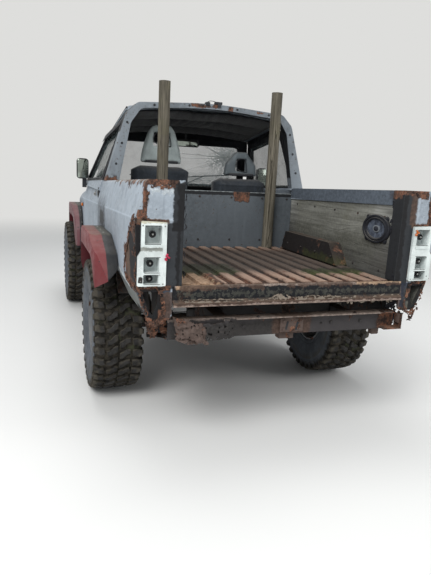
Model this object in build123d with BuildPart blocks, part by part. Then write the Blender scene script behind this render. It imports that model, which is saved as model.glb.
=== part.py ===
from build123d import *
from math import atan2, cos, hypot, radians, sin
import os

os.makedirs("parts", exist_ok=True)

# Frame: X forward, Y left, Z up, millimetres, origin on the ground under the middle of the car.

# Running gear
REAR_AXLE = -1030
WHEELBASE = 2335
FRONT_AXLE = REAR_AXLE + WHEELBASE
WHEEL_Y = 780
TYRE_R = 415
TYRE_W = 290
RIM_R = 190
STEER_Y = 620
RAIL_Y = 360
RAIL_W = 64

# Body, front to rear
BUMPER_FRONT = 2063
NOSE = 1960
COWL = 620
DOOR_FRONT = 570
DOOR_REAR = -500
HOOP_X = -600
HOOP_DEPTH = 90
BULKHEAD_X = -740
TAIL = -2039

# Body heights and half widths
SILL_Z = 580
FLOOR_Z = 600
DOOR_BOTTOM = 655
BED_Z = 872
BED_Y = 600
SIDE_LOW = (800, 860)
CREASE_Y = 806
BELT_Y = 762
FLARE_Y = 935
FRONT_FLARE_Y = 872
SKIN = 14
DOOR_THICK = 50
ROOF_Y = 600
ROOF_REAR_Z = 1815
ROOF_FRONT_Z = 1705
CROWN = 55

# Windscreen: upper edge, lower edge and thickness of its frame, and the slope they give
SCREEN_TOP = 245
SCREEN_TOP_Z = 1700
SCREEN_BASE_Z = 1232
SCREEN_THICK = 38
SCREEN_LEN = hypot(SCREEN_TOP_Z - SCREEN_BASE_Z, COWL - SCREEN_TOP)
SLOPE = atan2(SCREEN_TOP_Z - SCREEN_BASE_Z, COWL - SCREEN_TOP)

# Wheel opening and outer edge of a flare, as (x from the axle, z), with their rounding
ARCH = ((-490, 200), (-490, 640), (-330, 905), (330, 905), (490, 640), (490, 200))
FLARE = ((-560, 200), (-560, 690), (-545, 810), (-450, 935), (-230, 1015), (230, 1015), (450, 935), (545, 810),
         (560, 690), (560, 200))
ARCH_ROUND = 110
FLARE_ROUND = 50

SIDES = (-1, 1)


def save(part, label):
    part.label = label
    export_step(part, f"parts/{label}.step")


def save_pair(part, label):
    save(part, f"{label}_left")
    save(mirror(part, Plane.XZ), f"{label}_right")


def across(y):
    """Plane whose sketch reads (x, z) at this y, extruded towards the middle."""
    return Plane.XZ.offset(-y)


def along(x):
    """Plane whose sketch reads (y, z) at this x, extruded forward."""
    return Plane.YZ.offset(x)


def outline(*points, mode=Mode.ADD):
    Polygon(*points, align=None, mode=mode)


def block(x0, x1, y0, y1, z0, z1, mode=Mode.ADD):
    with Locations((x0, y0, z0)):
        Box(x1 - x0, y1 - y0, z1 - z0, align=Align.MIN, mode=mode)


def round_arch(points, axle, radius=ARCH_ROUND):
    """Closed line of a wheel opening or flare edge round an axle, for a sketch that reads (x, z)."""
    FilletPolyline(*[(axle + x, z) for x, z in points], radius=radius, close=True)


def belt_z(x):
    """The belt falls in one straight line from the tail to the foot of the windscreen."""
    return 1352 - 90 * (x - TAIL) / (COWL - TAIL)


def crease_z(x):
    """The crease under the belt falls a little less."""
    return 1177 - 67 * (x - TAIL) / (COWL - TAIL)


def side_points(x, low):
    """Outer line of the body side at this x, from its low point to the belt, as (y, z)."""
    return low, SIDE_LOW, (CREASE_Y, crease_z(x)), (BELT_Y, belt_z(x))


# Roundings of that line at its low bend, at the crease and at the belt
SIDE_ROUND = (150, 60, 22)

# Ladder frame: two box rails that rise over the rear axle, and four cross tubes as (x, z)
RAIL = ((-1955, 600), (-1955, 700), (-1500, 700), (-1250, 720), (-930, 720), (-750, 580), (700, 580),
        (900, 640), (BUMPER_FRONT - 90, 640), (BUMPER_FRONT - 90, 530), (930, 530), (720, 470), (-780, 470),
        (-960, 620), (-1230, 620), (-1480, 600))
CROSS_TUBES = ((-1420, 660), (-560, 545), (60, 515), (1820, 585))
with BuildPart() as chassis_frame:
    with BuildSketch(across(RAIL_Y + RAIL_W / 2)):
        outline(*RAIL)
    extrude(amount=RAIL_W)
    mirror(about=Plane.XZ)
    for x, z in CROSS_TUBES:
        with BuildSketch(across(RAIL_Y)):
            with Locations((x, z)):
                Circle(28)
        extrude(amount=2 * RAIL_Y)
save(chassis_frame.part, "chassis_frame")

# Rear cross-member: a channel open underneath, with a slotted lip and a box bracket at its right end
MEMBER_X, MEMBER_Z, MEMBER_Y, SHEET = -2000, (600, 700), 640, 6
MEMBER_HOLES = (-430, -250, -190, 250, 430)
LIP_SLOTS = (-560, -380, -200, 0, 180)
with BuildPart() as rear_crossmember:
    block(MEMBER_X, MEMBER_X + 45, -MEMBER_Y, MEMBER_Y, *MEMBER_Z)
    block(MEMBER_X + SHEET, MEMBER_X + 46, -646, 646, MEMBER_Z[0] + SHEET, MEMBER_Z[1] - SHEET, Mode.SUBTRACT)
    block(MEMBER_X - 34, MEMBER_X + 2, -620, 300, MEMBER_Z[1] - SHEET, MEMBER_Z[1])
    with BuildSketch(Plane.XY.offset(MEMBER_Z[1] - SHEET)):
        with Locations(*[(MEMBER_X - 18, y) for y in LIP_SLOTS]):
            SlotOverall(46, 12, rotation=90)
    extrude(amount=SHEET, mode=Mode.SUBTRACT)
    with BuildSketch(along(MEMBER_X)):
        with Locations(*[(y, 650) for y in MEMBER_HOLES]):
            Circle(8)
        with Locations((40, 650), (-60, 650)):
            SlotOverall(56, 16, rotation=90)
    extrude(amount=SHEET, mode=Mode.SUBTRACT)
    with BuildSketch(along(MEMBER_X - 60)):
        outline((-655, 610), (-545, 610), (-545, 616), (-649, 616), (-649, 690), (-655, 690))
    extrude(amount=60)
save(rear_crossmember.part, "rear_crossmember")

# Bent remains of the bumper bracket on the left of the cross-member
with BuildPart() as bumper_bracket:
    with BuildSketch(Plane.XY.offset(590)):
        outline((-2000, 300), (-2052, 330), (-2030, 470), (-2000, 520), (-2000, 510), (-2022, 464), (-2042, 336),
                (-2000, 311))
    extrude(amount=95)
    with BuildSketch(across(520)):
        outline((-2052, 590), (-2000, 555), (-1900, 555), (-1900, 480), (-2080, 560))
    extrude(amount=240, mode=Mode.SUBTRACT)
save(bumper_bracket.part, "bumper_bracket")

# Engine, bell housing, gearbox and transfer case, closed in, as plain masses
with BuildPart() as engine_and_gearbox:
    block(1000, 1560, -230, 230, 560, 960)
    chamfer(engine_and_gearbox.edges().filter_by(Axis.X), 40)
    with BuildSketch(along(1000)):
        with Locations((0, 600)):
            RectangleRounded(330, 330, 120)
    extrude(amount=-180, taper=16)
    with BuildSketch(along(130)):
        with Locations((0, 580)):
            RectangleRounded(200, 240, 60)
    extrude(amount=720)
    with BuildSketch(along(200)):
        with Locations((150, 500)):
            RectangleRounded(200, 150, 40)
    extrude(amount=240)
save(engine_and_gearbox.part, "engine_and_gearbox")

with BuildPart() as fuel_tank:
    with BuildSketch(along(-1480)):
        with Locations((0, 690)):
            RectangleRounded(2 * RAIL_Y - RAIL_W, 170, 30)
    extrude(amount=-380)
    chamfer(fuel_tank.faces().sort_by(Axis.X)[0].edges(), 14)
save(fuel_tank.part, "fuel_tank")

# Exhaust: silencer under the floor on the right and a tail pipe that rises over the axle
EXHAUST = ((900, -250, 440), (250, -255, 420), (-450, -262, 420), (-620, -265, 440), (-820, -268, 550),
           (-1240, -268, 560), (-1430, -268, 530))
with BuildPart() as exhaust:
    with BuildLine():
        FilletPolyline(*EXHAUST, radius=90)
    with BuildSketch(Plane(origin=EXHAUST[0], z_dir=Vector(*EXHAUST[1]) - Vector(*EXHAUST[0]))):
        Circle(26)
    sweep()
    with BuildSketch(along(-350)):
        with Locations((-260, 420)):
            Ellipse(85, 60)
    extrude(amount=500)
save(exhaust.part, "exhaust")

# Rear axle: tube, differential with its nose and cover, spindles and brake backing plates
PLATE_Y = 690
with BuildPart() as rear_axle:
    with BuildSketch(Plane.XZ):
        with Locations((REAR_AXLE, TYRE_R)):
            Circle(42)
    extrude(amount=PLATE_Y, both=True)
    with BuildSketch(Plane.XZ):
        with Locations((REAR_AXLE, TYRE_R)):
            Circle(125)
    extrude(amount=70, both=True, taper=18)
    with BuildSketch(along(REAR_AXLE)):
        with Locations((0, TYRE_R)):
            Circle(80)
    extrude(amount=210, taper=8)
    for s in SIDES:
        with BuildSketch(Plane.XZ.offset(-s * PLATE_Y)):
            with Locations((REAR_AXLE, TYRE_R)):
                Circle(140)
        extrude(amount=s * 8)
        with BuildSketch(Plane.XZ.offset(-s * PLATE_Y)):
            with Locations((REAR_AXLE, TYRE_R)):
                Circle(38)
        extrude(amount=-s * 150)
save(rear_axle.part, "rear_axle")

# Leaf springs under the axle: a main leaf with two shorter ones, rolled eyes and hanger plates
SPRING_Y = 460
SPRING_ENDS = (-1600, -460)
LEAVES = ((0, 520), (130, 489), (270, 443))
with BuildPart() as leaf_springs:
    for inset, end_z in LEAVES:
        rear, front = SPRING_ENDS[0] + inset, SPRING_ENDS[1] - inset
        drop = 340 - LEAVES.index((inset, end_z)) * 11
        with BuildSketch(across(SPRING_Y + 30)):
            with BuildLine():
                ThreePointArc((rear, end_z - 12), (REAR_AXLE, drop), (front, end_z - 12))
                ThreePointArc((rear, end_z), (REAR_AXLE, drop + 12), (front, end_z))
                Line((rear, end_z - 12), (rear, end_z))
                Line((front, end_z - 12), (front, end_z))
            make_face()
        extrude(amount=60)
    for x in SPRING_ENDS:
        with BuildSketch(across(SPRING_Y + 30)):
            with Locations((x, 514)):
                Circle(20)
        extrude(amount=60)
        block(x - 14, x + 14, SPRING_Y - 68, SPRING_Y - 30, 500, 640 if x < REAR_AXLE else 560)
    mirror(about=Plane.XZ)
save(leaf_springs.part, "leaf_springs")

# Front axle: differential, drive shafts, cross-member, and upper and lower wishbones at each end
WISHBONE_Z = (300, 520)
ARM_IN, ARM_OUT = RAIL_Y + RAIL_W / 2, 590
with BuildPart() as front_axle:
    with BuildSketch(Plane.XZ):
        with Locations((FRONT_AXLE, TYRE_R)):
            Circle(24)
    extrude(amount=555, both=True)
    with BuildSketch(Plane.XZ):
        with Locations((FRONT_AXLE, TYRE_R)):
            Circle(100)
    extrude(amount=120, both=True, taper=12)
    block(FRONT_AXLE - 170, FRONT_AXLE + 170, -ARM_IN, ARM_IN, 300, 330)
    for s in SIDES:
        block(FRONT_AXLE - 160, FRONT_AXLE + 160, s * ARM_IN - 8, s * ARM_IN + 8, 330, 530)
        with BuildSketch(Plane.XZ.offset(-s * 430)):
            with Locations((FRONT_AXLE, TYRE_R)):
                Circle(48)
        extrude(amount=-s * 90, taper=12)
        for z in WISHBONE_Z:
            with BuildSketch(Plane.XY.offset(z)):
                outline((FRONT_AXLE - 150, s * ARM_IN), (FRONT_AXLE - 110, s * ARM_IN),
                        (FRONT_AXLE, s * (ARM_OUT - 75)), (FRONT_AXLE + 110, s * ARM_IN),
                        (FRONT_AXLE + 150, s * ARM_IN), (FRONT_AXLE + 30, s * ARM_OUT),
                        (FRONT_AXLE - 30, s * ARM_OUT))
            extrude(amount=26)
save(front_axle.part, "front_axle")

# Steering knuckles: round upright on the steering axis, spindle and backing plate, one each side
with BuildPart() as knuckle:
    with BuildSketch(Plane.XY.offset(290)):
        with Locations((FRONT_AXLE, STEER_Y)):
            Circle(25)
    extrude(amount=266)
    block(FRONT_AXLE - 25, FRONT_AXLE + 25, STEER_Y, 652, 320, 520)
    with BuildSketch(across(652)):
        with Locations((FRONT_AXLE, TYRE_R)):
            Circle(120)
    extrude(amount=-10)
    with BuildSketch(across(660)):
        with Locations((FRONT_AXLE, TYRE_R)):
            Circle(38)
    extrude(amount=-180)
save_pair(knuckle.part, "knuckle")

# Wheels: tyre and dished slotted rim, each turned about the axle, as (place, x)
WHEELS = (("rear", REAR_AXLE), ("front", FRONT_AXLE))
HALF = TYRE_W / 2

# Half of the tyre's section, as (outward from the middle, from the axle), and its roundings
TYRE_HALF = ((HALF - 22, RIM_R + 1), (HALF - 20, 216), (HALF, 285), (HALF - 4, 378), (HALF - 36, TYRE_R))
TYRE_ROUND = (0, 30, 90, 60, 14)
for place, x in WHEELS:
    hub = Axis((x, 0, TYRE_R), (0, 1, 0))
    with BuildPart() as tyre:
        with BuildSketch(Plane.YZ.offset(x)):
            with BuildLine():
                FilletPolyline(*[(WHEEL_Y + y, TYRE_R + r) for y, r in TYRE_HALF],
                               *[(WHEEL_Y - y, TYRE_R + r) for y, r in reversed(TYRE_HALF)],
                               radius=TYRE_ROUND + TYRE_ROUND[::-1], close=True)
            make_face()
        revolve(axis=hub)
    save_pair(tyre.part, f"tyre_{place}")
    with BuildPart() as rim:
        with BuildSketch(Plane.YZ.offset(x)):
            with BuildLine():
                Polyline((WHEEL_Y - 118, TYRE_R + RIM_R), (WHEEL_Y - 118, TYRE_R + 178),
                         (WHEEL_Y + 30, TYRE_R + 168), (WHEEL_Y + 44, TYRE_R + 110), (WHEEL_Y + 20, TYRE_R + 80),
                         (WHEEL_Y + 20, TYRE_R + 42), (WHEEL_Y + 46, TYRE_R + 42), (WHEEL_Y + 46, TYRE_R + 60),
                         (WHEEL_Y + 36, TYRE_R + 80), (WHEEL_Y + 58, TYRE_R + 112), (WHEEL_Y + 44, TYRE_R + 178),
                         (WHEEL_Y + 118, TYRE_R + 178), (WHEEL_Y + 118, TYRE_R + RIM_R), close=True)
            make_face()
        revolve(axis=hub)
        with BuildSketch(across(WHEEL_Y + 80)):
            with Locations((x, TYRE_R)):
                with PolarLocations(132, 8):
                    SlotOverall(44, 22, rotation=90)
        extrude(amount=80, mode=Mode.SUBTRACT)
    save_pair(rim.part, f"rim_{place}")

# Cab floor with its tunnel and the two seat stands, and the sills under the doors
TUNNEL = ((-700, 582), (-190, 582), (-160, 726), (160, 726), (190, 582), (700, 582), (700, 600), (205, 600),
          (176, 744), (-176, 744), (-205, 600), (-700, 600))
SEAT_Y, SEAT_W = 320, 470
SEAT_X = (-330, 180)
CUSHION_Z = (745, 890)
with BuildPart() as cab_floor:
    with BuildSketch(along(BULKHEAD_X + 20)):
        outline(*TUNNEL)
    extrude(amount=COWL - BULKHEAD_X)
    for s in SIDES:
        block(-725, -555, min(s * 600, s * 710), max(s * 600, s * 710), 570, 610, Mode.SUBTRACT)
        with BuildSketch(Plane.XY.offset(FLOOR_Z - 1)):
            with Locations((-70, s * (SEAT_Y + 45))):
                Rectangle(380, 260)
                Rectangle(340, 220, mode=Mode.SUBTRACT)
        extrude(amount=CUSHION_Z[0] - FLOOR_Z)
save(cab_floor.part, "cab_floor")

with BuildPart() as sills:
    with BuildSketch(along(-480)):
        with BuildLine():
            FilletPolyline((701, SILL_Z), (765, SILL_Z), (776, 600), (780, 648), (701, 648), radius=(0, 10, 10, 4, 0),
                           close=True)
        make_face()
    extrude(amount=1180)
    mirror(about=Plane.XZ)
save(sills.part, "sills")

# Firewall and cowl between the wings, with door pillars at its ends
with BuildPart() as cowl_panel:
    with BuildSketch(across(636)):
        outline((640, 600), (660, 600), (660, 1160), (700, 1180), (700, 1192), (COWL, SCREEN_BASE_Z),
                (COWL - SCREEN_THICK * sin(SLOPE), SCREEN_BASE_Z - SCREEN_THICK * cos(SLOPE)), (640, 1185))
    extrude(amount=1272)
    for s in SIDES:
        block(640, 660, min(s * 636, s * 755), max(s * 636, s * 755), 655, 1150)
        block(580, 640, min(s * 690, s * 755), max(s * 690, s * 755), 655, 1180)
    with BuildSketch(along(639)):
        outline((-176, 600), (176, 600), (150, 745), (-150, 745))
    extrude(amount=22, mode=Mode.SUBTRACT)
save(cowl_panel.part, "cowl_panel")

# Dashboard with an instrument hood and a glove shelf
DASH = ((639, 900), (639, 1175), (560, 1185), (380, 1155), (340, 1100), (370, 960), (420, 900))
HOOD = ((345, 1100), (385, 1150), (470, 1165), (440, 1195), (360, 1180), (325, 1120))
with BuildPart() as dashboard:
    with BuildSketch(across(680)):
        with BuildLine():
            FilletPolyline(*DASH, radius=(0, 0, 30, 30, 25, 25, 20), close=True)
        make_face()
    extrude(amount=1360)
    with BuildSketch(across(510)):
        outline(*HOOD)
    extrude(amount=360)
    block(330, 400, -560, -120, 1020, 1090, Mode.SUBTRACT)
save(dashboard.part, "dashboard")

# Steering wheel on its column, leaned back
column = Plane(origin=(170, 330, 1110), x_dir=(0, 1, 0), z_dir=(-cos(radians(25)), 0, sin(radians(25))))
with BuildPart() as steering_wheel:
    with BuildSketch(Plane(origin=column.origin, x_dir=column.x_dir, z_dir=column.y_dir)):
        with Locations((178, 0)):
            Circle(14)
    revolve(axis=Axis(column.origin, column.z_dir))
    with BuildSketch(column.offset(-12)):
        Rectangle(350, 34)
        with Locations((0, -85)):
            Rectangle(34, 170)
        Circle(52)
    extrude(amount=18)
    with BuildSketch(column.offset(-12)):
        Circle(24)
    extrude(amount=-150)
save(steering_wheel.part, "steering_wheel")

# Windscreen frame in its own sloping plane, and its glass
screen = Plane(origin=(COWL, 0, SCREEN_BASE_Z), x_dir=(0, 1, 0), z_dir=(sin(SLOPE), 0, cos(SLOPE)))
BASE_W, TOP_W, PILLAR = 720, 590, 52
PANE = ((-BASE_W + PILLAR, 50), (BASE_W - PILLAR, 50), (TOP_W - PILLAR, SCREEN_LEN - 62),
        (-TOP_W + PILLAR, SCREEN_LEN - 62))
PANE_ROUND = 40
with BuildPart() as windscreen_frame:
    with BuildSketch(screen):
        outline((-BASE_W, 0), (BASE_W, 0), (TOP_W, SCREEN_LEN), (-TOP_W, SCREEN_LEN))
        with BuildLine():
            FilletPolyline(*PANE, radius=PANE_ROUND, close=True)
        make_face(mode=Mode.SUBTRACT)
    extrude(amount=-SCREEN_THICK)
save(windscreen_frame.part, "windscreen_frame")

with BuildPart() as windscreen_glass:
    with BuildSketch(screen.offset(-14)):
        with BuildLine():
            FilletPolyline(*PANE, radius=PANE_ROUND + 2, close=True)
        make_face()
    extrude(amount=-6)
save(windscreen_glass.part, "windscreen_glass")

# Roof: crowned sheet with its lining, from the windscreen to the hoop, with a rain gutter at each side
ROOF_THICK = 34
ROOF_SECTIONS = ((SCREEN_TOP - SCREEN_THICK, ROOF_FRONT_Z), (HOOP_X + HOOP_DEPTH, ROOF_REAR_Z))
with BuildPart() as roof_panel:
    for x, z in ROOF_SECTIONS:
        with BuildSketch(along(x)) as section:
            with BuildLine():
                ThreePointArc((-ROOF_Y, z), (0, z + CROWN), (ROOF_Y, z))
                Line((ROOF_Y, z), (ROOF_Y, z - ROOF_THICK))
                ThreePointArc((ROOF_Y, z - ROOF_THICK), (0, z + CROWN - ROOF_THICK), (-ROOF_Y, z - ROOF_THICK))
                Line((-ROOF_Y, z - ROOF_THICK), (-ROOF_Y, z))
            make_face()
            fillet(section.vertices(), 14)
    loft(ruled=True)
    with BuildSketch(across(ROOF_Y + 12)):
        (front_x, front_z), (rear_x, rear_z) = ROOF_SECTIONS
        outline((front_x, front_z - 24), (front_x, front_z - 18), (rear_x, rear_z - 18), (rear_x, rear_z - 24))
    extrude(amount=20)
    mirror(about=Plane.XZ)
save(roof_panel.part, "roof_panel")

# Rear hoop: arch of box section. Its rear flange took the bolts of a removable top, at these (y, z)
HOOP_OUTER = ((764, 1290), (625, 1760), (545, 1838), (0, 1874))
HOOP_INNER = ((676, 1250), (590, 1700), (520, 1800), (0, 1842))
HOOP_ROUND = (0, 70, 60, 3000)
HOOP_HOLES = ((688, 1420), (650, 1560), (616, 1700), (430, 1827), (180, 1845))
FLANGE = 8
with BuildPart() as rear_hoop:
    with BuildSketch(along(HOOP_X)):
        for half, mode in ((HOOP_OUTER, Mode.ADD), (HOOP_INNER, Mode.SUBTRACT)):
            with BuildLine():
                FilletPolyline(*half, *[(-y, z) for y, z in half[-2::-1]],
                               radius=HOOP_ROUND + HOOP_ROUND[-2::-1], close=True)
            make_face(mode=mode)
    extrude(amount=HOOP_DEPTH)
    with BuildSketch(along(HOOP_X + FLANGE)):
        with BuildLine():
            FilletPolyline(*[(y * 1.015, z + 5) for y, z in HOOP_INNER],
                           *[(-y * 1.015, z + 5) for y, z in HOOP_INNER[-2::-1]],
                           radius=HOOP_ROUND + HOOP_ROUND[-2::-1], close=True)
        make_face()
    extrude(amount=HOOP_DEPTH, mode=Mode.SUBTRACT)
    with BuildSketch(along(HOOP_X)):
        with Locations(*HOOP_HOLES, *[(-y, z) for y, z in HOOP_HOLES]):
            Circle(5)
    extrude(amount=20, mode=Mode.SUBTRACT)
    with BuildSketch(across(850)):
        outline((-700, belt_z(-700)), (-400, belt_z(-400)), (-400, 1200), (-700, 1200))
    extrude(amount=1700, mode=Mode.SUBTRACT)
save(rear_hoop.part, "rear_hoop")

# Doors: shell up to the belt with a handle in its recess, then a window frame that leans in with the cab
LEAN = radians(19.6)
window_plane = Plane(origin=(0, 755, 1345), x_dir=(-1, 0, 0), z_dir=(0, cos(LEAN), sin(LEAN)))
FRAME_OUT = ((-555, -120), (-555, -75), (-235, 332), (495, 430), (495, -120))
WINDOW = ((-440, -62), (-205, 300), (455, 387), (455, -28))
FRAME_ROUND = (0, 16, 50, 30, 0)
WINDOW_ROUND = (10, 40, 30, 10)
HANDLE = (-440, -330, 1188, 1222)
with BuildPart() as door:
    for x in (DOOR_REAR + 5, DOOR_FRONT - 5):
        with BuildSketch(along(x)):
            with BuildLine():
                FilletPolyline(*side_points(x, (772, DOOR_BOTTOM)), radius=SIDE_ROUND[:2])
                offset(amount=DOOR_THICK, side=Side.LEFT)
            make_face()
    loft(ruled=True)
    with BuildSketch(window_plane):
        with BuildLine():
            FilletPolyline(*FRAME_OUT, radius=FRAME_ROUND, close=True)
        make_face()
        with BuildLine():
            FilletPolyline(*WINDOW, radius=WINDOW_ROUND, close=True)
        make_face(mode=Mode.SUBTRACT)
    extrude(amount=-34)
    x0, x1, z0, z1 = HANDLE
    block(x0, x1, 774, 830, z0, z1, Mode.SUBTRACT)
    block(x0 + 8, x1 - 8, 771, 790, z1 - 16, z1 - 4)
save_pair(door.part, "door")

with BuildPart() as door_glass:
    with BuildSketch(window_plane.offset(-14)):
        with BuildLine():
            FilletPolyline(*WINDOW, radius=[r + 2 for r in WINDOW_ROUND], close=True)
        make_face()
    extrude(amount=-5)
save_pair(door_glass.part, "door_glass")

with BuildPart() as door_mirror:
    block(385, 425, 796, 830, 1215, 1300)
    with BuildSketch(along(370)):
        with Locations((831, 1372)):
            RectangleRounded(100, 170, 28)
    extrude(amount=62, taper=12)
save_pair(door_mirror.part, "door_mirror")

# Bed: ribbed floor, boarded sides, wheel boxes and the bulkhead behind the seats
RIBS = 13
RIB_PITCH = 2 * BED_Y / RIBS
with BuildPart() as bed_floor:
    block(TAIL + 9, BULKHEAD_X, -BED_Y, BED_Y, BED_Z - 27, BED_Z - 13)
    with BuildSketch(along(TAIL + 40)):
        with GridLocations(RIB_PITCH, 0, RIBS, 1):
            with Locations((0, BED_Z - 6.5)):
                Trapezoid(RIB_PITCH * 0.62, 13, 60)
    extrude(amount=BULKHEAD_X - TAIL - 60)
save(bed_floor.part, "bed_floor")

with BuildPart() as side_boards:
    with BuildSketch(across(BED_Y + 13)):
        outline((TAIL + 80, BED_Z - 13), (TAIL + 80, 1269), (BULKHEAD_X, 1229), (BULKHEAD_X, BED_Z - 13))
    extrude(amount=12)
    mirror(about=Plane.XZ)
save(side_boards.part, "side_boards")

with BuildPart() as arch_boxes:
    with BuildSketch(across(BED_Y + 1)):
        outline((-1560, BED_Z), (-1460, 1000), (-850, 1000), (-800, BED_Z))
    extrude(amount=85)
    mirror(about=Plane.XZ)
    fillet(arch_boxes.edges().filter_by(Axis.X).group_by(Axis.Z)[-1].group_by(Axis.Y)[0], 18)
save(arch_boxes.part, "arch_boxes")

with BuildPart() as bulkhead:
    block(BULKHEAD_X, BULKHEAD_X + 18, -BED_Y, BED_Y, FLOOR_Z, 1240)
    block(BULKHEAD_X, BULKHEAD_X + 26, -BED_Y, BED_Y, 1240, 1265)
save(bulkhead.part, "bulkhead")

POST_X, POST_Y, POST_R, POST_TOP = BULKHEAD_X - 40, 404, 38, 1960
with BuildPart() as wooden_posts:
    with BuildSketch(Plane.XY.offset(BED_Z)):
        with Locations((POST_X, POST_Y), (POST_X, -POST_Y)):
            Circle(POST_R)
    extrude(amount=POST_TOP - BED_Z)
save(wooden_posts.part, "wooden_posts")

# Speakers in the side boards: eight-sided flange, round rim, cone and dust cap
SPEAKER_X, SPEAKER_Z = -1808, 1130
with BuildPart() as speakers:
    with BuildSketch(across(BED_Y + 1)):
        with Locations((SPEAKER_X, SPEAKER_Z)):
            RegularPolygon(108, 8)
    extrude(amount=8)
    with BuildSketch(across(BED_Y + 1)):
        with Locations((SPEAKER_X, SPEAKER_Z)):
            Circle(96)
    extrude(amount=16)
    with BuildSketch(across(BED_Y - 15)):
        with Locations((SPEAKER_X, SPEAKER_Z)):
            Circle(82)
    extrude(amount=-11, taper=60, mode=Mode.SUBTRACT)
    with BuildSketch(across(BED_Y - 4)):
        with Locations((SPEAKER_X, SPEAKER_Z)):
            Circle(26)
    extrude(amount=6, taper=45)
    mirror(about=Plane.XZ)
save(speakers.part, "speakers")

# Quarter panels: lofted skin with its top flange, rear face with the lamp opening, pillar and bed rail
LAMP_Y, LAMP_Z = (677, 787), (868, 1164)
QUARTER_LOW = (735, 705)
PILLAR_X = TAIL + 79
with BuildPart() as quarter_panel:
    for x in (TAIL, DOOR_REAR - 5):
        with BuildSketch(along(x)):
            with BuildLine():
                FilletPolyline(*side_points(x, QUARTER_LOW), (BED_Y + 10, belt_z(x)), radius=SIDE_ROUND)
                offset(amount=SKIN, side=Side.LEFT)
            make_face()
    loft(ruled=True)
    with BuildSketch(along(TAIL)):
        with BuildLine():
            FilletPolyline(*side_points(TAIL, QUARTER_LOW), (BED_Y - 17, belt_z(TAIL)), (BED_Y - 17, BED_Z - 5),
                           (627, BED_Z - 5), (627, QUARTER_LOW[1]), radius=(0, *SIDE_ROUND, 0, 0, 0, 30), close=True)
        make_face()
        offset(amount=-5, mode=Mode.REPLACE)
    extrude(amount=12)
    block(TAIL, PILLAR_X, BED_Y - 12, BED_Y, BED_Z, belt_z(TAIL))
    with BuildSketch(across(BED_Y + 14)):
        outline((PILLAR_X, 1270), (PILLAR_X, 1348), (BULKHEAD_X, 1304), (BULKHEAD_X, 1230))
    extrude(amount=20)
    with BuildSketch(across(850)):
        outline((TAIL - 5, belt_z(TAIL - 5)), (DOOR_REAR, belt_z(DOOR_REAR)), (DOOR_REAR, 1400), (TAIL - 5, 1400))
    extrude(amount=300, mode=Mode.SUBTRACT)
    block(TAIL - 1, TAIL + 13, *LAMP_Y, *LAMP_Z, Mode.SUBTRACT)
    with BuildSketch(along(TAIL - 1)):
        outline((703, 785), (700, 846), (776, 850), (752, 790), (735, 748), (722, 735))
    extrude(amount=14, mode=Mode.SUBTRACT)
    with BuildSketch(across(850)):
        with BuildLine():
            round_arch(ARCH, REAR_AXLE)
        make_face()
    extrude(amount=200, mode=Mode.SUBTRACT)
save_pair(quarter_panel.part, "quarter_panel")

# Inner wheel housings: arched sheets inside the quarter panels, and aprons beside the engine
HOUSING_Y = CREASE_Y - SKIN - 6
HOUSING_R = 486
WALL_LOW, WALL_HIGH = 610, 862
with BuildPart() as wheel_housings:
    with BuildSketch(across(HOUSING_Y)):
        with BuildLine():
            inner = CenterArc((REAR_AXLE, TYRE_R), HOUSING_R - 8, 36, 108)
            outer = CenterArc((REAR_AXLE, TYRE_R), HOUSING_R, 36, 108)
            Line(inner @ 0, outer @ 0)
            Line(inner @ 1, outer @ 1)
        make_face()
    extrude(amount=HOUSING_Y - BED_Y - 14)
    with BuildSketch(across(BED_Y + 22)):
        with Locations((REAR_AXLE, TYRE_R)):
            Circle(HOUSING_R)
        with Locations((REAR_AXLE, (WALL_LOW + WALL_HIGH) / 2)):
            Rectangle(2 * HOUSING_R, WALL_HIGH - WALL_LOW, mode=Mode.INTERSECT)
    extrude(amount=8)
    with BuildSketch(along(660)):
        outline((396, 642), (406, 642), (406, 980), (640, 1000), (640, 1010), (396, 990))
    extrude(amount=NOSE - 95 - 660)
    mirror(about=Plane.XZ)
save(wheel_housings.part, "wheel_housings")

# Rear sill under the open tail, with its folded lip
SILL_SECTION = ((9, BED_Z), (-6, BED_Z), (-6, 806), (-24, 790), (-24, 775), (-12, 775), (-12, 784), (6, 800), (9, 800))
with BuildPart() as rear_sill:
    with BuildSketch(across(630)):
        outline(*[(TAIL + x, z) for x, z in SILL_SECTION])
    extrude(amount=1260)
save(rear_sill.part, "rear_sill")

# Rear lamp housings, empty of their lenses: stepped shell with three pockets, as (y in, y out, z low, z high)
LAMP_SHELL = ((668, 876), (668, 1166), (784, 1170), (784, 1036), (799, 1010), (799, 876))
POCKETS = ((690, 768, 1066, 1150), (700, 772, 937, 1008), (702, 772, 884, 928))
LAMP_BACK = TAIL + 50
with BuildPart() as lamp_housings:
    with BuildSketch(along(TAIL - 14)):
        with BuildLine():
            FilletPolyline(*LAMP_SHELL, radius=6, close=True)
        make_face()
    extrude(amount=14)
    block(TAIL, LAMP_BACK, LAMP_Y[0] + 2, LAMP_Y[1] - 9, LAMP_Z[0] + 2, LAMP_Z[1] - 2)
    for y0, y1, z0, z1 in POCKETS:
        middle = ((y0 + y1) / 2, (z0 + z1) / 2)
        with BuildSketch(along(TAIL - 14)):
            with Locations(middle):
                RectangleRounded(y1 - y0, z1 - z0, 5)
        extrude(amount=48, taper=3, mode=Mode.SUBTRACT)
        with BuildSketch(along(TAIL + 34)):
            with Locations(middle):
                Circle(13)
                Circle(8, mode=Mode.SUBTRACT)
        extrude(amount=-14)
    block(TAIL - 18, TAIL - 13, 690, 770, 1050, 1058)
    with BuildSketch(along(TAIL - 15)):
        with Locations((677, 1148), (681, 885), (784, 900), (777, 1150)):
            Circle(3.5)
    extrude(amount=16, mode=Mode.SUBTRACT)
    mirror(about=Plane.XZ)
save(lamp_housings.part, "lamp_housings")

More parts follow.
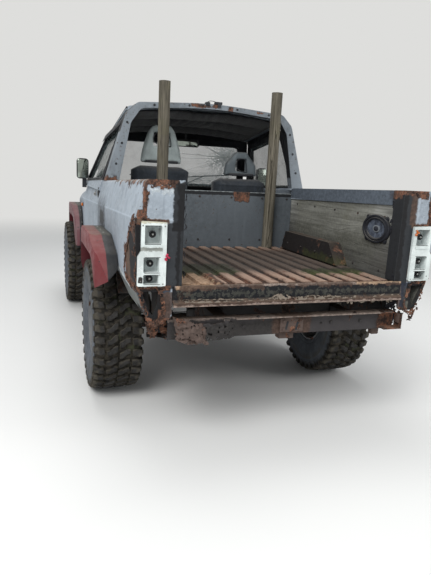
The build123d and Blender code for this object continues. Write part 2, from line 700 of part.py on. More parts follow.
# Front wings: side skin and top strip, lofted to the nose, with the arch cut through
WING_SECTIONS = ((DOOR_FRONT + 5, 800, CREASE_Y, 1111, BELT_Y, 1204), (1780, 742, 746, 1040, 712, 1100),
                 (NOSE, 720, 724, 1000, 696, 1062))
with BuildPart() as front_wings:
    for x, y_low, y_mid, z_mid, y_top, z_top in WING_SECTIONS:
        with BuildSketch(along(x)):
            with BuildLine():
                FilletPolyline((y_low - 20, 655), (y_low, 860), (y_mid, z_mid), (y_top, z_top), (640, z_top),
                               radius=(150, 60, 20))
                offset(amount=12, side=Side.LEFT)
            make_face()
    loft(ruled=True)
    with BuildSketch(across(850)):
        with BuildLine():
            round_arch(ARCH, FRONT_AXLE)
        make_face()
    extrude(amount=250, mode=Mode.SUBTRACT)
    block(FRONT_AXLE + 400, NOSE + 1, 600, 850, 600, 702, Mode.SUBTRACT)
    mirror(about=Plane.XZ)
save(front_wings.part, "front_wings")

# Bonnet: crowned lid that turns down at its nose, with a raised middle, as (x, edge z)
BONNET_Y = 634
BONNET_SECTIONS = ((706, 1206), (1780, 1106), (NOSE, 1066))
with BuildPart() as bonnet:
    for x, z in BONNET_SECTIONS:
        with BuildSketch(along(x)):
            with BuildLine():
                ThreePointArc((-BONNET_Y, z), (0, z + 18), (BONNET_Y, z))
                Line((BONNET_Y, z), (BONNET_Y, z - 18))
                ThreePointArc((BONNET_Y, z - 18), (0, z), (-BONNET_Y, z - 18))
                Line((-BONNET_Y, z - 18), (-BONNET_Y, z))
            make_face()
    loft(ruled=True)
    for x, z in BONNET_SECTIONS[:2]:
        width = 330 - (x - 706) * 0.07
        with BuildSketch(along(x)):
            outline((-width, z + 4), (width, z + 4), (width - 40, z + 28), (40 - width, z + 28))
    loft(ruled=True)
save(bonnet.part, "bonnet")

# Front face: grille panel with slots and lamp openings, lamps with bowed glasses, and the bumper
LAMP_BOX = (540, 940, 200, 150)
with BuildPart() as grille_panel:
    block(NOSE, NOSE + 16, -718, 718, 700, 1040)
    with BuildSketch(along(NOSE)):
        for s in SIDES:
            with Locations((s * LAMP_BOX[0], LAMP_BOX[1])):
                Rectangle(LAMP_BOX[2], LAMP_BOX[3])
        with Locations((0, 930)):
            with GridLocations(128, 34, 6, 4):
                Rectangle(110, 20)
        with Locations((0, 760)):
            SlotOverall(760, 50)
    extrude(amount=16, mode=Mode.SUBTRACT)
save(grille_panel.part, "grille_panel")

with BuildPart() as headlamps:
    for s in SIDES:
        with BuildSketch(along(NOSE - 90)):
            with Locations((s * LAMP_BOX[0], LAMP_BOX[1])):
                Rectangle(LAMP_BOX[2] - 2, LAMP_BOX[3] - 2)
        extrude(amount=112)
    chamfer(headlamps.faces().group_by(Axis.X)[-1].edges(), 8)
save(headlamps.part, "headlamps")

BUMPER_PLAN = ((NOSE + 14, -500), (NOSE + 14, 500), (NOSE - 60, 740), (NOSE - 60, 780), (NOSE + 40, 756),
               (BUMPER_FRONT, 560), (BUMPER_FRONT, -560), (NOSE + 40, -756), (NOSE - 60, -780), (NOSE - 60, -740))
with BuildPart() as front_bumper:
    with BuildSketch(Plane.XY.offset(500)):
        with BuildLine():
            FilletPolyline(*BUMPER_PLAN, radius=(0, 0, 0, 8, 40, 200, 200, 40, 8, 0), close=True)
        make_face()
    extrude(amount=190)
    block(NOSE + 60, BUMPER_FRONT + 1, -330, 330, 545, 600, Mode.SUBTRACT)
save(front_bumper.part, "front_bumper")

# Arch flares, one over each wheel, as plans of (x from the axle, y) that narrow towards their ends
REAR_PLAN = ((-570, CREASE_Y + 1), (-570, 855), (-430, 926), (-300, FLARE_Y), (300, FLARE_Y), (430, 926),
             (570, 855), (570, CREASE_Y + 1))
FRONT_PLAN = ((-570, 802), (-570, 850), (-430, 867), (-300, FRONT_FLARE_Y), (300, FRONT_FLARE_Y), (430, 865),
              (570, 830), (570, 742))
FLARE_FOOT = 655
FLARE_IN = 740
with BuildPart() as flares:
    for x in (REAR_AXLE, FRONT_AXLE):
        with BuildSketch(across(FLARE_Y)):
            with BuildLine():
                round_arch(FLARE, x, FLARE_ROUND)
            make_face()
            with BuildLine():
                round_arch(ARCH, x)
            make_face(mode=Mode.SUBTRACT)
        extrude(amount=FLARE_Y - FLARE_IN)
    with BuildSketch(Plane.XY.offset(FLARE_FOOT)):
        for x, plan in ((REAR_AXLE, REAR_PLAN), (FRONT_AXLE, FRONT_PLAN)):
            with BuildLine():
                FilletPolyline(*[(x + dx, y) for dx, y in plan], radius=(0, 30, 120, 300, 300, 120, 30, 0),
                               close=True)
            make_face()
    extrude(amount=500, mode=Mode.INTERSECT)
    block(DOOR_REAR - 12, DOOR_REAR + 60, 800, FLARE_Y + 1, 600, 1100, Mode.SUBTRACT)
    mirror(about=Plane.XZ)
save(flares.part, "flares")

# Seats, as (side, back top, restraint low, restraint top, half widths of the restraint at its foot and top)
SEATS = ((1, 1440, 1440, 1715, 155, 85), (-1, 1375, 1375, 1560, 135, 62))
with BuildPart() as seat_cushions:
    for s, *_ in SEATS:
        block(*SEAT_X, s * SEAT_Y - SEAT_W / 2, s * SEAT_Y + SEAT_W / 2, *CUSHION_Z)
save(seat_cushions.part, "seat_cushions")

with BuildPart() as seat_backs:
    for s, top, *_ in SEATS:
        with BuildSketch(across(s * SEAT_Y + SEAT_W / 2)):
            outline((-330, 892), (-200, 892), (-300, top), (-400, top))
        extrude(amount=SEAT_W)
save(seat_backs.part, "seat_backs")

# Head restraints: tapered arches with an opening through each, standing on the seat backs
with BuildPart() as head_restraints:
    for s, _, low, top, foot, crown in SEATS:
        middle = s * SEAT_Y
        with BuildSketch(along(-388)):
            with BuildLine():
                FilletPolyline((middle - foot, low + 1), (middle + foot, low + 1), (middle + crown, top),
                               (middle - crown, top), radius=(4, 4, 50, 50), close=True)
            make_face()
            with BuildLine():
                FilletPolyline((middle - foot + 88, top - 150), (middle + foot - 88, top - 150),
                               (middle + crown - 20, top - 50), (middle - crown + 20, top - 50),
                               radius=14, close=True)
            make_face(mode=Mode.SUBTRACT)
        extrude(amount=58)
save(head_restraints.part, "head_restraints")

# Interior mirror on a stem from the roof lining
with BuildPart() as interior_mirror:
    with BuildSketch(along(110)):
        with Locations((0, 1625)):
            RectangleRounded(230, 62, 20)
    extrude(amount=24, taper=8)
    block(118, 128, -8, 8, 1652, 1735)
save(interior_mirror.part, "interior_mirror")
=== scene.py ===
import math
import random

import bmesh
import bpy
from bpy.props import FloatProperty, FloatVectorProperty, IntProperty, PointerProperty
from mathutils import Matrix, Vector, noise
from mathutils.bvhtree import BVHTree


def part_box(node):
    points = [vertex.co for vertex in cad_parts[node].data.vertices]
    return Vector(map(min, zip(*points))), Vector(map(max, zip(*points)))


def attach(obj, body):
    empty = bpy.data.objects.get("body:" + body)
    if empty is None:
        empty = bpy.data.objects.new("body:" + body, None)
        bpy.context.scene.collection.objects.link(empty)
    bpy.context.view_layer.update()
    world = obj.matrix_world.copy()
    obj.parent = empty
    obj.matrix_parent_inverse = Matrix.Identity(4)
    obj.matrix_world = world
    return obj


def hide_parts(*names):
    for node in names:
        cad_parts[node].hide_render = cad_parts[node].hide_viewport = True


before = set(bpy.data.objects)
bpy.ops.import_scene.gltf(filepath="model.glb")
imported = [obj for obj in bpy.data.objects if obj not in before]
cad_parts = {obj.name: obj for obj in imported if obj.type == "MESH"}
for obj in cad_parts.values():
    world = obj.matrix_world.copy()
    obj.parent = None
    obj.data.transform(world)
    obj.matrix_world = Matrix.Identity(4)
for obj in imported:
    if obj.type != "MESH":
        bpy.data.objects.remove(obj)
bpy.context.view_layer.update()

bl_info = {
    "name": "Worn Pickup",
    "version": (1, 0, 0),
    "blender": (4, 5, 0),
    "location": "View3D > Sidebar > Pickup",
    "description": "Finishes, tyres, seats, trim and rust of a worn two-door four-wheel-drive pickup",
    "category": "Object",
}

# Places that the pieces share, in metres
REAR_AXLE, FRONT_AXLE, WHEEL_Y, AXLE_Z = -1.030, 1.305, 0.780, 0.415
TAIL = -2.039  # rear faces of the pillars
REAR_LIMIT = -2.0605  # how far back torn metal may reach
SEAT_Y = 0.320
SPEAKER, OVAL = (-1.822, 0.6005, 1.130), (1.26, 0.80)  # hub on the left board, and how much longer and lower than round
SCREEN_FOOT, SCREEN_HEAD = (0.620, 0, 1.232), (0.245, 0, 1.700)
BLOW = (0.373, -0.459, 1.540)  # where the windscreen's cracks start
WINDOW_LEAN = math.radians(19.6)
WHEELS = (("rear", REAR_AXLE), ("front", FRONT_AXLE))
SIDES = (("left", 1), ("right", -1))


# Sizes and colours

def colour(name, description, red, green, blue):
    return FloatVectorProperty(name=name, description=description, subtype="COLOR_GAMMA", size=3, min=0, max=1,
                               default=(red / 255, green / 255, blue / 255))


def length(name, description, default):
    return FloatProperty(name=name, description=description, default=default, min=0, unit="LENGTH")


class BodyFinish(bpy.types.PropertyGroup):
    paint: colour("Body paint", "Matt grey paint of the body", 146, 155, 164)
    frame_grey: colour("Hoop paint", "Bare primer of the rear hoop", 118, 125, 131)
    red: colour("Flare red", "Paint of the arch flares", 112, 52, 54)
    faded_red: colour("Faded red", "Sun-bleached red of the front flares", 112, 80, 84)
    # Red darkened as painted shade: the door cladding and the undersides of the flares take it.
    dark_red: colour("Cladding", "Dark red door cladding and inner arches", 92, 28, 36)
    black: colour("Black trim", "Frames, seals and plastics", 30, 32, 36)
    chassis: colour("Chassis black", "Old paint of the frame", 52, 50, 50)


class RustFinish(bpy.types.PropertyGroup):
    dark: colour("Dark rust", "Deep pits of old rust", 38, 30, 28)
    brown: colour("Brown rust", "Main tone of the rust", 82, 61, 51)
    orange: colour("Orange rust", "Fresh rust", 124, 79, 58)
    pale: colour("Pale rust", "Dry flakes", 182, 158, 138)


class LampFinish(bpy.types.PropertyGroup):
    shell: colour("Lamp shell", "Pale plastic of the lamp housings", 206, 214, 212)
    red: colour("Red lens", "Broken piece of lens", 196, 22, 74)
    amber: colour("Amber lens", "Turn lamps", 214, 112, 26)


class CabFinish(bpy.types.PropertyGroup):
    cloth: colour("Seat cloth", "Charcoal cloth of the seats", 44, 49, 55)
    vinyl: colour("Restraint vinyl", "Grey cover of the head restraints", 142, 151, 150)
    dark_vinyl: colour("Dark vinyl", "Cover of the right head restraint", 84, 92, 96)
    plastic: colour("Grey plastic", "Dashboard and door cards", 58, 63, 70)
    lining: colour("Roof lining", "Black cloth under the roof", 14, 15, 19)


class WoodFinish(bpy.types.PropertyGroup):
    post: colour("Post", "Weathered round wood", 98, 93, 82)
    board: colour("Board", "Grey boards of the bed", 128, 128, 123)


class TyreShape(bpy.types.PropertyGroup):
    rubber: colour("Rubber", "Worn black rubber", 40, 39, 38)
    mud: colour("Mud", "Dry mud in the grooves", 66, 61, 53)
    lugs: IntProperty(name="Lugs", description="Rows of lugs round the tread", default=37, min=12, max=80)
    depth: length("Tread depth", "Height of the lugs", 0.020)


class StageShape(bpy.types.PropertyGroup):
    floor: colour("Floor", "Pale floor and background", 222, 222, 220)
    sky: FloatProperty(name="Ambient light", description="Even light from all round", default=0.50, min=0)
    key: FloatProperty(name="Main lamp", description="Power of the large lamp", default=380, min=0, unit="POWER")


def linear(values):
    """Screen colour to the linear one that the nodes take."""
    return tuple(v / 12.92 if v <= 0.04045 else ((v + 0.055) / 1.055) ** 2.4 for v in values)


def screen(red, green, blue):
    """Screen colour from values up to 255."""
    return red / 255, green / 255, blue / 255


def shade(values, factor):
    return tuple(min(1.0, v * factor) for v in values)


def settings(group):
    return getattr(bpy.context.scene, "pickup_" + group)


# Nodes

class Nodes:
    """Short calls that add linked nodes to one tree."""

    def __init__(self, tree):
        self.tree = tree

    def put(self, socket, value):
        if value is None:
            return
        if isinstance(value, bpy.types.NodeSocket):
            self.tree.links.new(value, socket)
        elif socket.type == "RGBA" and len(value) == 3:
            socket.default_value = (*value, 1)
        else:
            socket.default_value = value

    def add(self, kind, *values, **choices):
        made = self.tree.nodes.new("ShaderNode" + kind)
        for key, value in choices.items():
            setattr(made, key, value)
        for socket, value in zip([s for s in made.inputs if s.enabled], values):
            self.put(socket, value)
        return made

    def out(self, kind, *values, **choices):
        made = self.add(kind, *values, **choices)
        return next(s for s in made.outputs if s.enabled)

    def math(self, operation, *values):
        return self.out("Math", *values, operation=operation)

    def times(self, a, b):
        return self.math("MULTIPLY", a, b)

    def plus(self, a, b):
        return self.math("ADD", a, b)

    def minus(self, a, b):
        return self.math("SUBTRACT", a, b)

    def most(self, a, b):
        return self.math("MAXIMUM", a, b)

    def vector(self, operation, *values):
        return self.out("VectorMath", *values, operation=operation)

    def scale(self, at, factor):
        """The same place on a pattern with its own size along each axis."""
        return self.vector("MULTIPLY", at, factor)

    def noise(self, at, scale, detail=4.0, rough=0.55, distort=0.0):
        made = self.add("TexNoise")
        for name, value in (("Vector", at), ("Scale", scale), ("Detail", detail), ("Roughness", rough),
                            ("Distortion", distort)):
            self.put(made.inputs[name], value)
        return made.outputs["Fac"]

    def cells(self, at, scale, feature="F1", jitter=1.0):
        made = self.add("TexVoronoi", feature=feature)
        for name, value in (("Vector", at), ("Scale", scale), ("Randomness", jitter)):
            self.put(made.inputs[name], value)
        return made.outputs["Distance"]

    def smooth(self, value, low, high, out_low=0.0, out_high=1.0):
        return self.out("MapRange", value, low, high, out_low, out_high, interpolation_type="SMOOTHSTEP")

    def mix(self, factor, a, b):
        return self.out("Mix", factor, a, b, data_type="RGBA")

    def blend(self, factor, a, b):
        return self.out("Mix", factor, a, b, data_type="FLOAT")

    def ramp(self, value, *stops):
        made = self.add("ValToRGB", value)
        elements = made.color_ramp.elements
        while len(elements) < len(stops):
            elements.new(0.5)
        for element, (place, tone) in zip(elements, stops):
            element.position = place
            element.color = (*tone, 1)
        return made.outputs["Color"]

    def parts(self, at):
        return self.add("SeparateXYZ", at).outputs

    def bump(self, height, distance, strength=1.0):
        made = self.add("Bump")
        for name, value in (("Height", height), ("Distance", distance), ("Strength", strength)):
            self.put(made.inputs[name], value)
        return made.outputs["Normal"]

    def group(self, name, **values):
        """Places a shared effect and returns its outputs."""
        made = self.tree.nodes.new("ShaderNodeGroup")
        made.node_tree = bpy.data.node_groups.get(name) or EFFECTS[name](name)
        for key, value in values.items():
            self.put(made.inputs[key.replace("_", " ").title()], value)
        return made.outputs


def effect(name, inputs, outputs):
    """New shader node group with named sockets, and the calls for its nodes."""
    tree = bpy.data.node_groups.new(name, "ShaderNodeTree")
    for label, kind, default in inputs:
        socket = tree.interface.new_socket(label, in_out="INPUT", socket_type="NodeSocket" + kind)
        if default is not None:
            socket.default_value = default
    for label, kind in outputs:
        tree.interface.new_socket(label, in_out="OUTPUT", socket_type="NodeSocket" + kind)
    nodes = Nodes(tree)
    return nodes, tree.nodes.new("NodeGroupInput").outputs, tree.nodes.new("NodeGroupOutput").inputs


def patch_effect(name):
    """Mask of one box-shaped place with a soft, ragged edge."""
    n, given, made = effect(name, (("At", "Vector", None), ("Middle", "Vector", (0, 0, 0)),
                                   ("Half", "Vector", (0.1, 0.1, 0.1)),
                                   ("Tilt", "Float", 0.0), ("Soft", "Float", 0.02), ("Ragged", "Float", 0.03),
                                   ("Grain", "Float", 30.0)), (("Mask", "Float"),))
    turned = n.out("VectorRotate", given["At"], given["Middle"], given["Tilt"], rotation_type="Y_AXIS")
    over = n.vector("SUBTRACT", n.vector("ABSOLUTE", n.vector("SUBTRACT", turned, given["Middle"])), given["Half"])
    away = n.add("VectorMath", n.vector("MAXIMUM", over, (0, 0, 0)), operation="LENGTH").outputs["Value"]
    x, y, z = n.parts(over)
    inside = n.math("MINIMUM", n.most(x, n.most(y, z)), 0.0)
    grain = n.minus(n.noise(given["At"], given["Grain"], 5, 0.62), 0.5)
    shifted = n.plus(n.plus(away, inside), n.times(grain, given["Ragged"]))
    n.put(made["Mask"], n.smooth(shifted, given["Soft"], 0.0))
    return n.tree


def rust_effect(name):
    """Rust in dark pits, brown, orange and pale dry flakes."""
    n, given, made = effect(name, (("At", "Vector", None), ("Scale", "Float", 14.0), ("Pale", "Float", 0.4)),
                            (("Color", "Color"), ("Height", "Float")))
    tones = settings("rust")
    broad = n.noise(given["At"], given["Scale"], 8, 0.68, 0.4)
    fine = n.noise(given["At"], n.times(given["Scale"], 6.0), 6, 0.7)
    both = n.blend(0.42, broad, fine)
    base = n.ramp(both, (0.30, shade(linear(tones.dark), 0.45)), (0.42, linear(tones.dark)),
                  (0.50, linear(tones.brown)),
                  (0.58, linear(tones.orange)), (0.66, linear(tones.brown)))
    flakes = n.cells(n.vector("ADD", given["At"], n.add("TexNoise", given["At"], 40.0).outputs["Color"]),
                     n.times(given["Scale"], 3.0))
    dry = n.times(n.smooth(flakes, 0.45, 0.2), n.smooth(broad, 0.5, 0.66))
    n.put(made["Color"], n.mix(n.times(dry, given["Pale"]), base, linear(tones.pale)))
    n.put(made["Height"], n.plus(both, n.times(dry, 0.25)))
    return n.tree


def runs_effect(name):
    """Stains that run straight down."""
    n, given, made = effect(name, (("At", "Vector", None), ("Fine", "Float", 26.0), ("Cover", "Float", 0.5)),
                            (("Mask", "Float"),))
    drawn = n.scale(given["At"], (1.0, 1.0, 0.055))
    lines = n.noise(drawn, given["Fine"], 5, 0.6)
    broken = n.noise(given["At"], 3.0, 3, 0.5)
    low = n.minus(0.82, n.times(given["Cover"], 0.5))
    edge = n.out("MapRange", n.plus(lines, n.times(n.minus(broken, 0.5), 0.4)), low,
                 n.plus(low, 0.18), 0.0, 1.0, interpolation_type="SMOOTHSTEP")
    n.put(made["Mask"], edge)
    return n.tree


def dust_effect(name):
    """Dust that settles on what faces up."""
    n, given, made = effect(name, (("At", "Vector", None), ("Facing", "Vector", None), ("Amount", "Float", 0.6)),
                            (("Mask", "Float"),))
    up = n.smooth(n.parts(given["Facing"])[2], 0.15, 0.9)
    uneven = n.smooth(n.noise(given["At"], 9.0, 6, 0.65), 0.36, 0.62, 0.35, 1.0)
    n.put(made["Mask"], n.times(n.times(up, uneven), given["Amount"]))
    return n.tree


def chips_effect(name):
    """Small chips with hard edges, in clusters."""
    n, given, made = effect(name, (("At", "Vector", None), ("Scale", "Float", 60.0), ("Amount", "Float", 0.4)),
                            (("Mask", "Float"),))
    spots = n.noise(given["At"], given["Scale"], 3, 0.5, 0.6)
    where = n.noise(given["At"], 5.0, 3, 0.5)
    high = n.minus(0.86, n.times(n.plus(given["Amount"], where), 0.22))
    n.put(made["Mask"], n.out("MapRange", spots, high, n.plus(high, 0.015), 0.0, 1.0))
    return n.tree


def scratches_effect(name):
    """Thin scratches in two directions."""
    n, given, made = effect(name, (("At", "Vector", None), ("Scale", "Float", 18.0)), (("Mask", "Float"),))
    bent = n.vector("ADD", given["At"], n.vector("SCALE", n.add("TexNoise", given["At"], 3.0).outputs["Color"], 0.06))
    total = None
    for stretch in ((1.0, 1.0, 0.12), (0.16, 1.0, 1.0)):
        seam = n.cells(n.scale(bent, stretch), given["Scale"], "DISTANCE_TO_EDGE")
        line = n.smooth(seam, 0.035, 0.0)
        total = line if total is None else n.most(total, line)
    gaps = n.smooth(n.noise(given["At"], 11.0, 4, 0.6), 0.5, 0.62)
    n.put(made["Mask"], n.times(total, gaps))
    return n.tree


def weave_effect(name):
    """Plain weave of cloth, with small knots."""
    n, given, made = effect(name, (("At", "Vector", None), ("Threads", "Float", 420.0)),
                            (("Height", "Float"), ("Tone", "Float")))
    x, y, z = n.parts(n.vector("SCALE", given["At"], given["Threads"]))
    lift = n.times(n.math("SINE", n.plus(x, n.times(z, 0.6))),
                  n.math("SINE", n.plus(y, n.times(z, 0.8))))
    n.put(made["Height"], lift)
    n.put(made["Tone"], n.blend(0.5, n.noise(given["At"], 60.0, 5, 0.7), n.noise(given["At"], 7.0, 3, 0.5)))
    return n.tree


def grain_effect(name):
    """Weathered wood along Z: pale and dark fibres, drying cracks."""
    n, given, made = effect(name, (("At", "Vector", None), ("Fine", "Float", 90.0), ("Cracks", "Float", 0.6)),
                            (("Tone", "Float"), ("Crack", "Float"), ("Height", "Float")))
    drawn = n.scale(given["At"], (1.0, 1.0, 0.035))
    fibre = n.noise(drawn, given["Fine"], 6, 0.65, 0.3)
    broad = n.noise(n.scale(given["At"], (1.0, 1.0, 0.2)), 14.0, 4, 0.6)
    seam = n.cells(n.scale(given["At"], (1.0, 1.0, 0.05)), n.times(given["Fine"], 0.55), "DISTANCE_TO_EDGE")
    split = n.times(n.smooth(seam, 0.05, 0.0), n.smooth(broad, 0.44, 0.6))
    split = n.times(split, given["Cracks"])
    n.put(made["Tone"], n.blend(0.45, fibre, broad))
    n.put(made["Crack"], split)
    n.put(made["Height"], n.minus(fibre, n.times(split, 2.0)))
    return n.tree


EFFECTS = {
    "Patch": patch_effect,
    "Rust": rust_effect,
    "Runs": runs_effect,
    "Dust": dust_effect,
    "Chips": chips_effect,
    "Scratches": scratches_effect,
    "Weave": weave_effect,
    "Grain": grain_effect,
}


# Finishes

SOCKETS = {"specular": "Specular IOR Level", "sheen": "Sheen Weight", "sheen_roughness": "Sheen Roughness",
           "metallic": "Metallic", "transmission": "Transmission Weight"}


def begin(name, **sockets):
    """New material with its shader, and the calls for its nodes. Plain values go on the shader's own sockets."""
    made = bpy.data.materials.new(name)
    made.use_nodes = True
    made.node_tree.nodes.clear()
    n = Nodes(made.node_tree)
    shader = n.add("BsdfPrincipled")
    n.put(n.add("OutputMaterial").inputs["Surface"], shader.outputs[0])
    for key, value in sockets.items():
        n.put(shader.inputs[SOCKETS[key]], value)
    places = n.add("TexCoord").outputs
    return made, n, shader.inputs, places["Object"], places["Normal"]


def close(made, n, shader, base, rough, height, distance, strength):
    """Puts a finish's colour, roughness and bump on its shader."""
    n.put(shader["Base Color"], base)
    n.put(shader["Roughness"], rough)
    n.put(shader["Normal"], n.bump(height, distance, strength))
    return made


def tone_of(tone):
    """Linear colour of a setting named as group.key, or of screen values up to 255."""
    if isinstance(tone, str):
        group, key = tone.split(".")
        return linear(getattr(settings(group), key))
    return linear(screen(*tone))


def use(kind, *values, **more):
    """A row of the finishes: the function that makes the material, and what it is given."""
    return lambda name: kind(name, *values, **more)


# Kinds of mark that a row of a marks table may name besides rust: worn paint, dirt, and the painted shade 'shadow';
# and what such a row takes for the values that it leaves out: softness, raggedness, grain, strength and tilt
WEAR_AND_SHADE_TONES = {
    "bare": (176, 184, 186), "scrape": (196, 202, 202), "grime": (44, 42, 40), "black": (12, 12, 15),
    "silt": (98, 98, 88), "brown": (84, 66, 54), "moss": (62, 66, 36), "yellow": (172, 158, 116),
    "blue": (30, 36, 50), "shadow": (100, 106, 112), "rail": (70, 78, 88), "tan": (160, 134, 110),
    "pink": (150, 134, 124), "umber": (74, 58, 50),
}
USUAL_MARK = (0.02, 0.04, 30.0, None, 0.0)


def wear_and_shade_tone(n, at, kind):
    """Colour and roughness of one kind of mark. Most kinds are worn paint and dirt; 'shadow' is painted shade."""
    if kind == "rust":
        return n.group("Rust", at=at, scale=16.0, pale=0.5)["Color"], 0.9
    tone = tone_of(WEAR_AND_SHADE_TONES[kind])
    mottled = n.mix(n.smooth(n.noise(at, 55.0, 5, 0.7), 0.38, 0.64), shade(tone, 0.7), shade(tone, 1.3))
    return mottled, 0.8


def wear_and_shade(n, at, base, rough, height, marks):
    """Lays the rows of a marks table over a finish: worn paint, dirt and painted shade."""
    for kind, middle, half, *more in marks:
        soft, ragged, grain, strength, tilt = (*more, *USUAL_MARK[len(more):])
        mask = n.group("Patch", at=at, middle=middle, half=half, tilt=tilt, soft=soft, ragged=ragged,
                       grain=grain)["Mask"]
        if strength is not None:
            mask = n.times(mask, strength)
        tone, dull = wear_and_shade_tone(n, at, kind)
        if kind == "rust":
            # Dark brown rim round the rust: painted shadow under the lifted edge of the paint.
            base = n.mix(n.times(n.smooth(mask, 0.02, 0.4), 0.85), base, linear(screen(46, 38, 36)))
            mask = n.smooth(mask, 0.35, 0.85)
        base = n.mix(mask, base, tone)
        rough = n.blend(mask, rough, dull)
        if kind in ("rust", "grime", "brown"):
            height = n.plus(height, n.times(mask, n.noise(at, 90.0, 5, 0.7)))
    return base, rough, height


def painted(name, tone, marks=(), runs=0.5, dust=0.5, chips=0.3, rust=0.25, crease=0.0, rough=0.55, frames=False):
    """Old paint: mottled, with stains that run down, chips to bare metal, dust and rust. frames turns it black above
    the waistline. The crease setting paints a pale line along the body crease: worn paint and a painted highlight."""
    made, n, shader, at, facing = begin(name, specular=0.35)
    tone = tone_of(tone)
    base = n.mix(n.smooth(n.noise(at, 2.6, 5, 0.6), 0.36, 0.64), shade(tone, 0.84), shade(tone, 1.10))
    base = n.mix(n.smooth(n.noise(at, 34.0, 5, 0.75), 0.40, 0.68), base, shade(tone, 1.16))
    base = n.mix(n.times(n.group("Runs", at=at, fine=24.0, cover=0.55)["Mask"], runs), base, shade(tone, 1.38))
    low = n.vector("ADD", at, (3.7, 1.3, 5.1))
    base = n.mix(n.times(n.group("Runs", at=low, fine=34.0, cover=0.42)["Mask"], runs * 0.9), base,
                 shade(tone, 0.58))
    chip = n.group("Chips", at=at, scale=70.0, amount=chips)["Mask"]
    base = n.mix(chip, base, linear((0.30, 0.27, 0.25)))
    dull = n.blend(n.smooth(n.noise(at, 18.0, 4, 0.6), 0.4, 0.62), rough, min(rough + 0.25, 1.0))
    height = n.times(n.noise(at, 160.0, 3, 0.5), 0.25)
    # Pale line along the body crease: worn paint, and a painted highlight where the fold catches the light.
    if crease:
        x, y, z = n.parts(at)
        off = n.math("ABSOLUTE", n.minus(z, n.math("MULTIPLY_ADD", x, -0.0252, 1.1256)))
        line = n.smooth(n.plus(off, n.times(n.noise(at, 22.0, 4, 0.6), 0.012)), 0.014, 0.005)
        base = n.mix(n.times(line, crease), base, shade(tone, 1.5))
    eaten = n.group("Rust", at=at, scale=11.0, pale=0.3)
    where = n.smooth(n.noise(at, 7.0, 7, 0.7, 0.5), 0.74 - 0.22 * rust, 0.77 - 0.22 * rust)
    base = n.mix(where, base, eaten["Color"])
    height = n.minus(height, n.times(where, 0.8))
    if frames:
        x, y, z = n.parts(at)
        above = n.smooth(n.math("MULTIPLY_ADD", x, 0.0339, z), 1.2835, 1.2865)
        base = n.mix(above, base, n.mix(n.smooth(n.noise(at, 9.0, 5, 0.6), 0.4, 0.62), linear(screen(22, 23, 27)),
                                        linear(screen(44, 46, 51))))
    base, dull, height = wear_and_shade(n, at, base, dull, height, marks)
    film = n.group("Dust", at=at, facing=facing, amount=dust)["Mask"]
    base = n.mix(film, base, linear((0.50, 0.48, 0.44)))
    return close(made, n, shader, base, dull, height, 0.0012, 0.6)


def rusted(name, tone=None, paint=0.0, scale=12.0, marks=(), pale=0.4, dust=0.3):
    """Rusty metal with what is left of its paint."""
    made, n, shader, at, facing = begin(name, specular=0.25)
    eaten = n.group("Rust", at=at, scale=scale, pale=pale)
    base, height = eaten["Color"], eaten["Height"]
    dull = n.smooth(n.noise(at, 30.0, 4, 0.6), 0.3, 0.7, 0.72, 0.98)
    if tone is not None:
        cover = n.smooth(n.noise(at, 9.0, 7, 0.66, 0.3), 0.60 - 0.3 * paint, 0.63 - 0.3 * paint)
        tone = tone_of(tone)
        left = n.mix(n.noise(at, 24.0, 5, 0.6), shade(tone, 0.75), shade(tone, 1.2))
        base = n.mix(cover, base, left)
        height = n.plus(height, n.times(cover, 0.35))
        dull = n.blend(cover, dull, 0.6)
    base, dull, height = wear_and_shade(n, at, base, dull, height, marks)
    film = n.group("Dust", at=at, facing=facing, amount=dust)["Mask"]
    base = n.mix(film, base, linear((0.42, 0.37, 0.31)))
    return close(made, n, shader, base, dull, height, 0.003, 0.7)


def moulded(name, tone, rough=0.5, grain=260.0, marks=(), dust=0.35, fade=0.2):
    """Moulded plastic or rubber with fine grain, scuffs and dust."""
    made, n, shader, at, facing = begin(name, specular=0.4)
    tone = tone_of(tone)
    base = n.mix(n.smooth(n.noise(at, 8.0, 5, 0.6), 0.36, 0.66), shade(tone, 0.85), shade(tone, 1.15 + fade))
    rub = n.times(n.group("Scratches", at=at, scale=26.0)["Mask"], 0.35)
    base = n.mix(rub, base, shade(tone, 1.9))
    dull = n.smooth(n.noise(at, 20.0, 4, 0.6), 0.35, 0.65, rough, min(1.0, rough + 0.22))
    height = n.noise(at, grain, 2, 0.5)
    base, dull, height = wear_and_shade(n, at, base, dull, height, marks)
    film = n.group("Dust", at=at, facing=facing, amount=dust)["Mask"]
    base = n.mix(film, base, linear((0.44, 0.42, 0.38)))
    return close(made, n, shader, base, dull, height, 0.0004, 0.5)


def wooden(name, tone, turn=(0.0, 0.0, 0.0), fine=90.0, cracks=0.6, marks=(), end=None):
    """Weathered wood. turn lays its grain along another axis."""
    made, n, shader, at, facing = begin(name, specular=0.2)
    along = n.out("Mapping", at, None, turn) if any(turn) else at
    wood = n.group("Grain", at=along, fine=fine, cracks=cracks)
    tone = tone_of(tone)
    base = n.ramp(wood["Tone"], (0.34, shade(tone, 0.26)), (0.44, shade(tone, 0.72)), (0.54, shade(tone, 1.2)),
                  (0.66, shade(tone, 1.9)))
    base = n.mix(wood["Crack"], base, shade(tone, 0.12))
    green = n.smooth(n.noise(at, 5.0, 5, 0.6), 0.52, 0.66)
    base = n.mix(n.times(green, 0.22), base, linear((0.40, 0.39, 0.27)))
    height = wood["Height"]
    dull = n.smooth(n.noise(at, 15.0, 4, 0.6), 0.3, 0.7, 0.78, 0.95)
    if end is not None:
        x, y, z = n.parts(at)
        cut = n.smooth(z, end - 0.004, end - 0.001)
        base = n.mix(cut, base, n.ramp(n.noise(at, 130.0, 5, 0.6), (0.3, shade(tone, 0.35)), (0.7, shade(tone, 0.95))))
    base, dull, height = wear_and_shade(n, at, base, dull, height, marks)
    return close(made, n, shader, base, dull, height, 0.0022, 0.8)


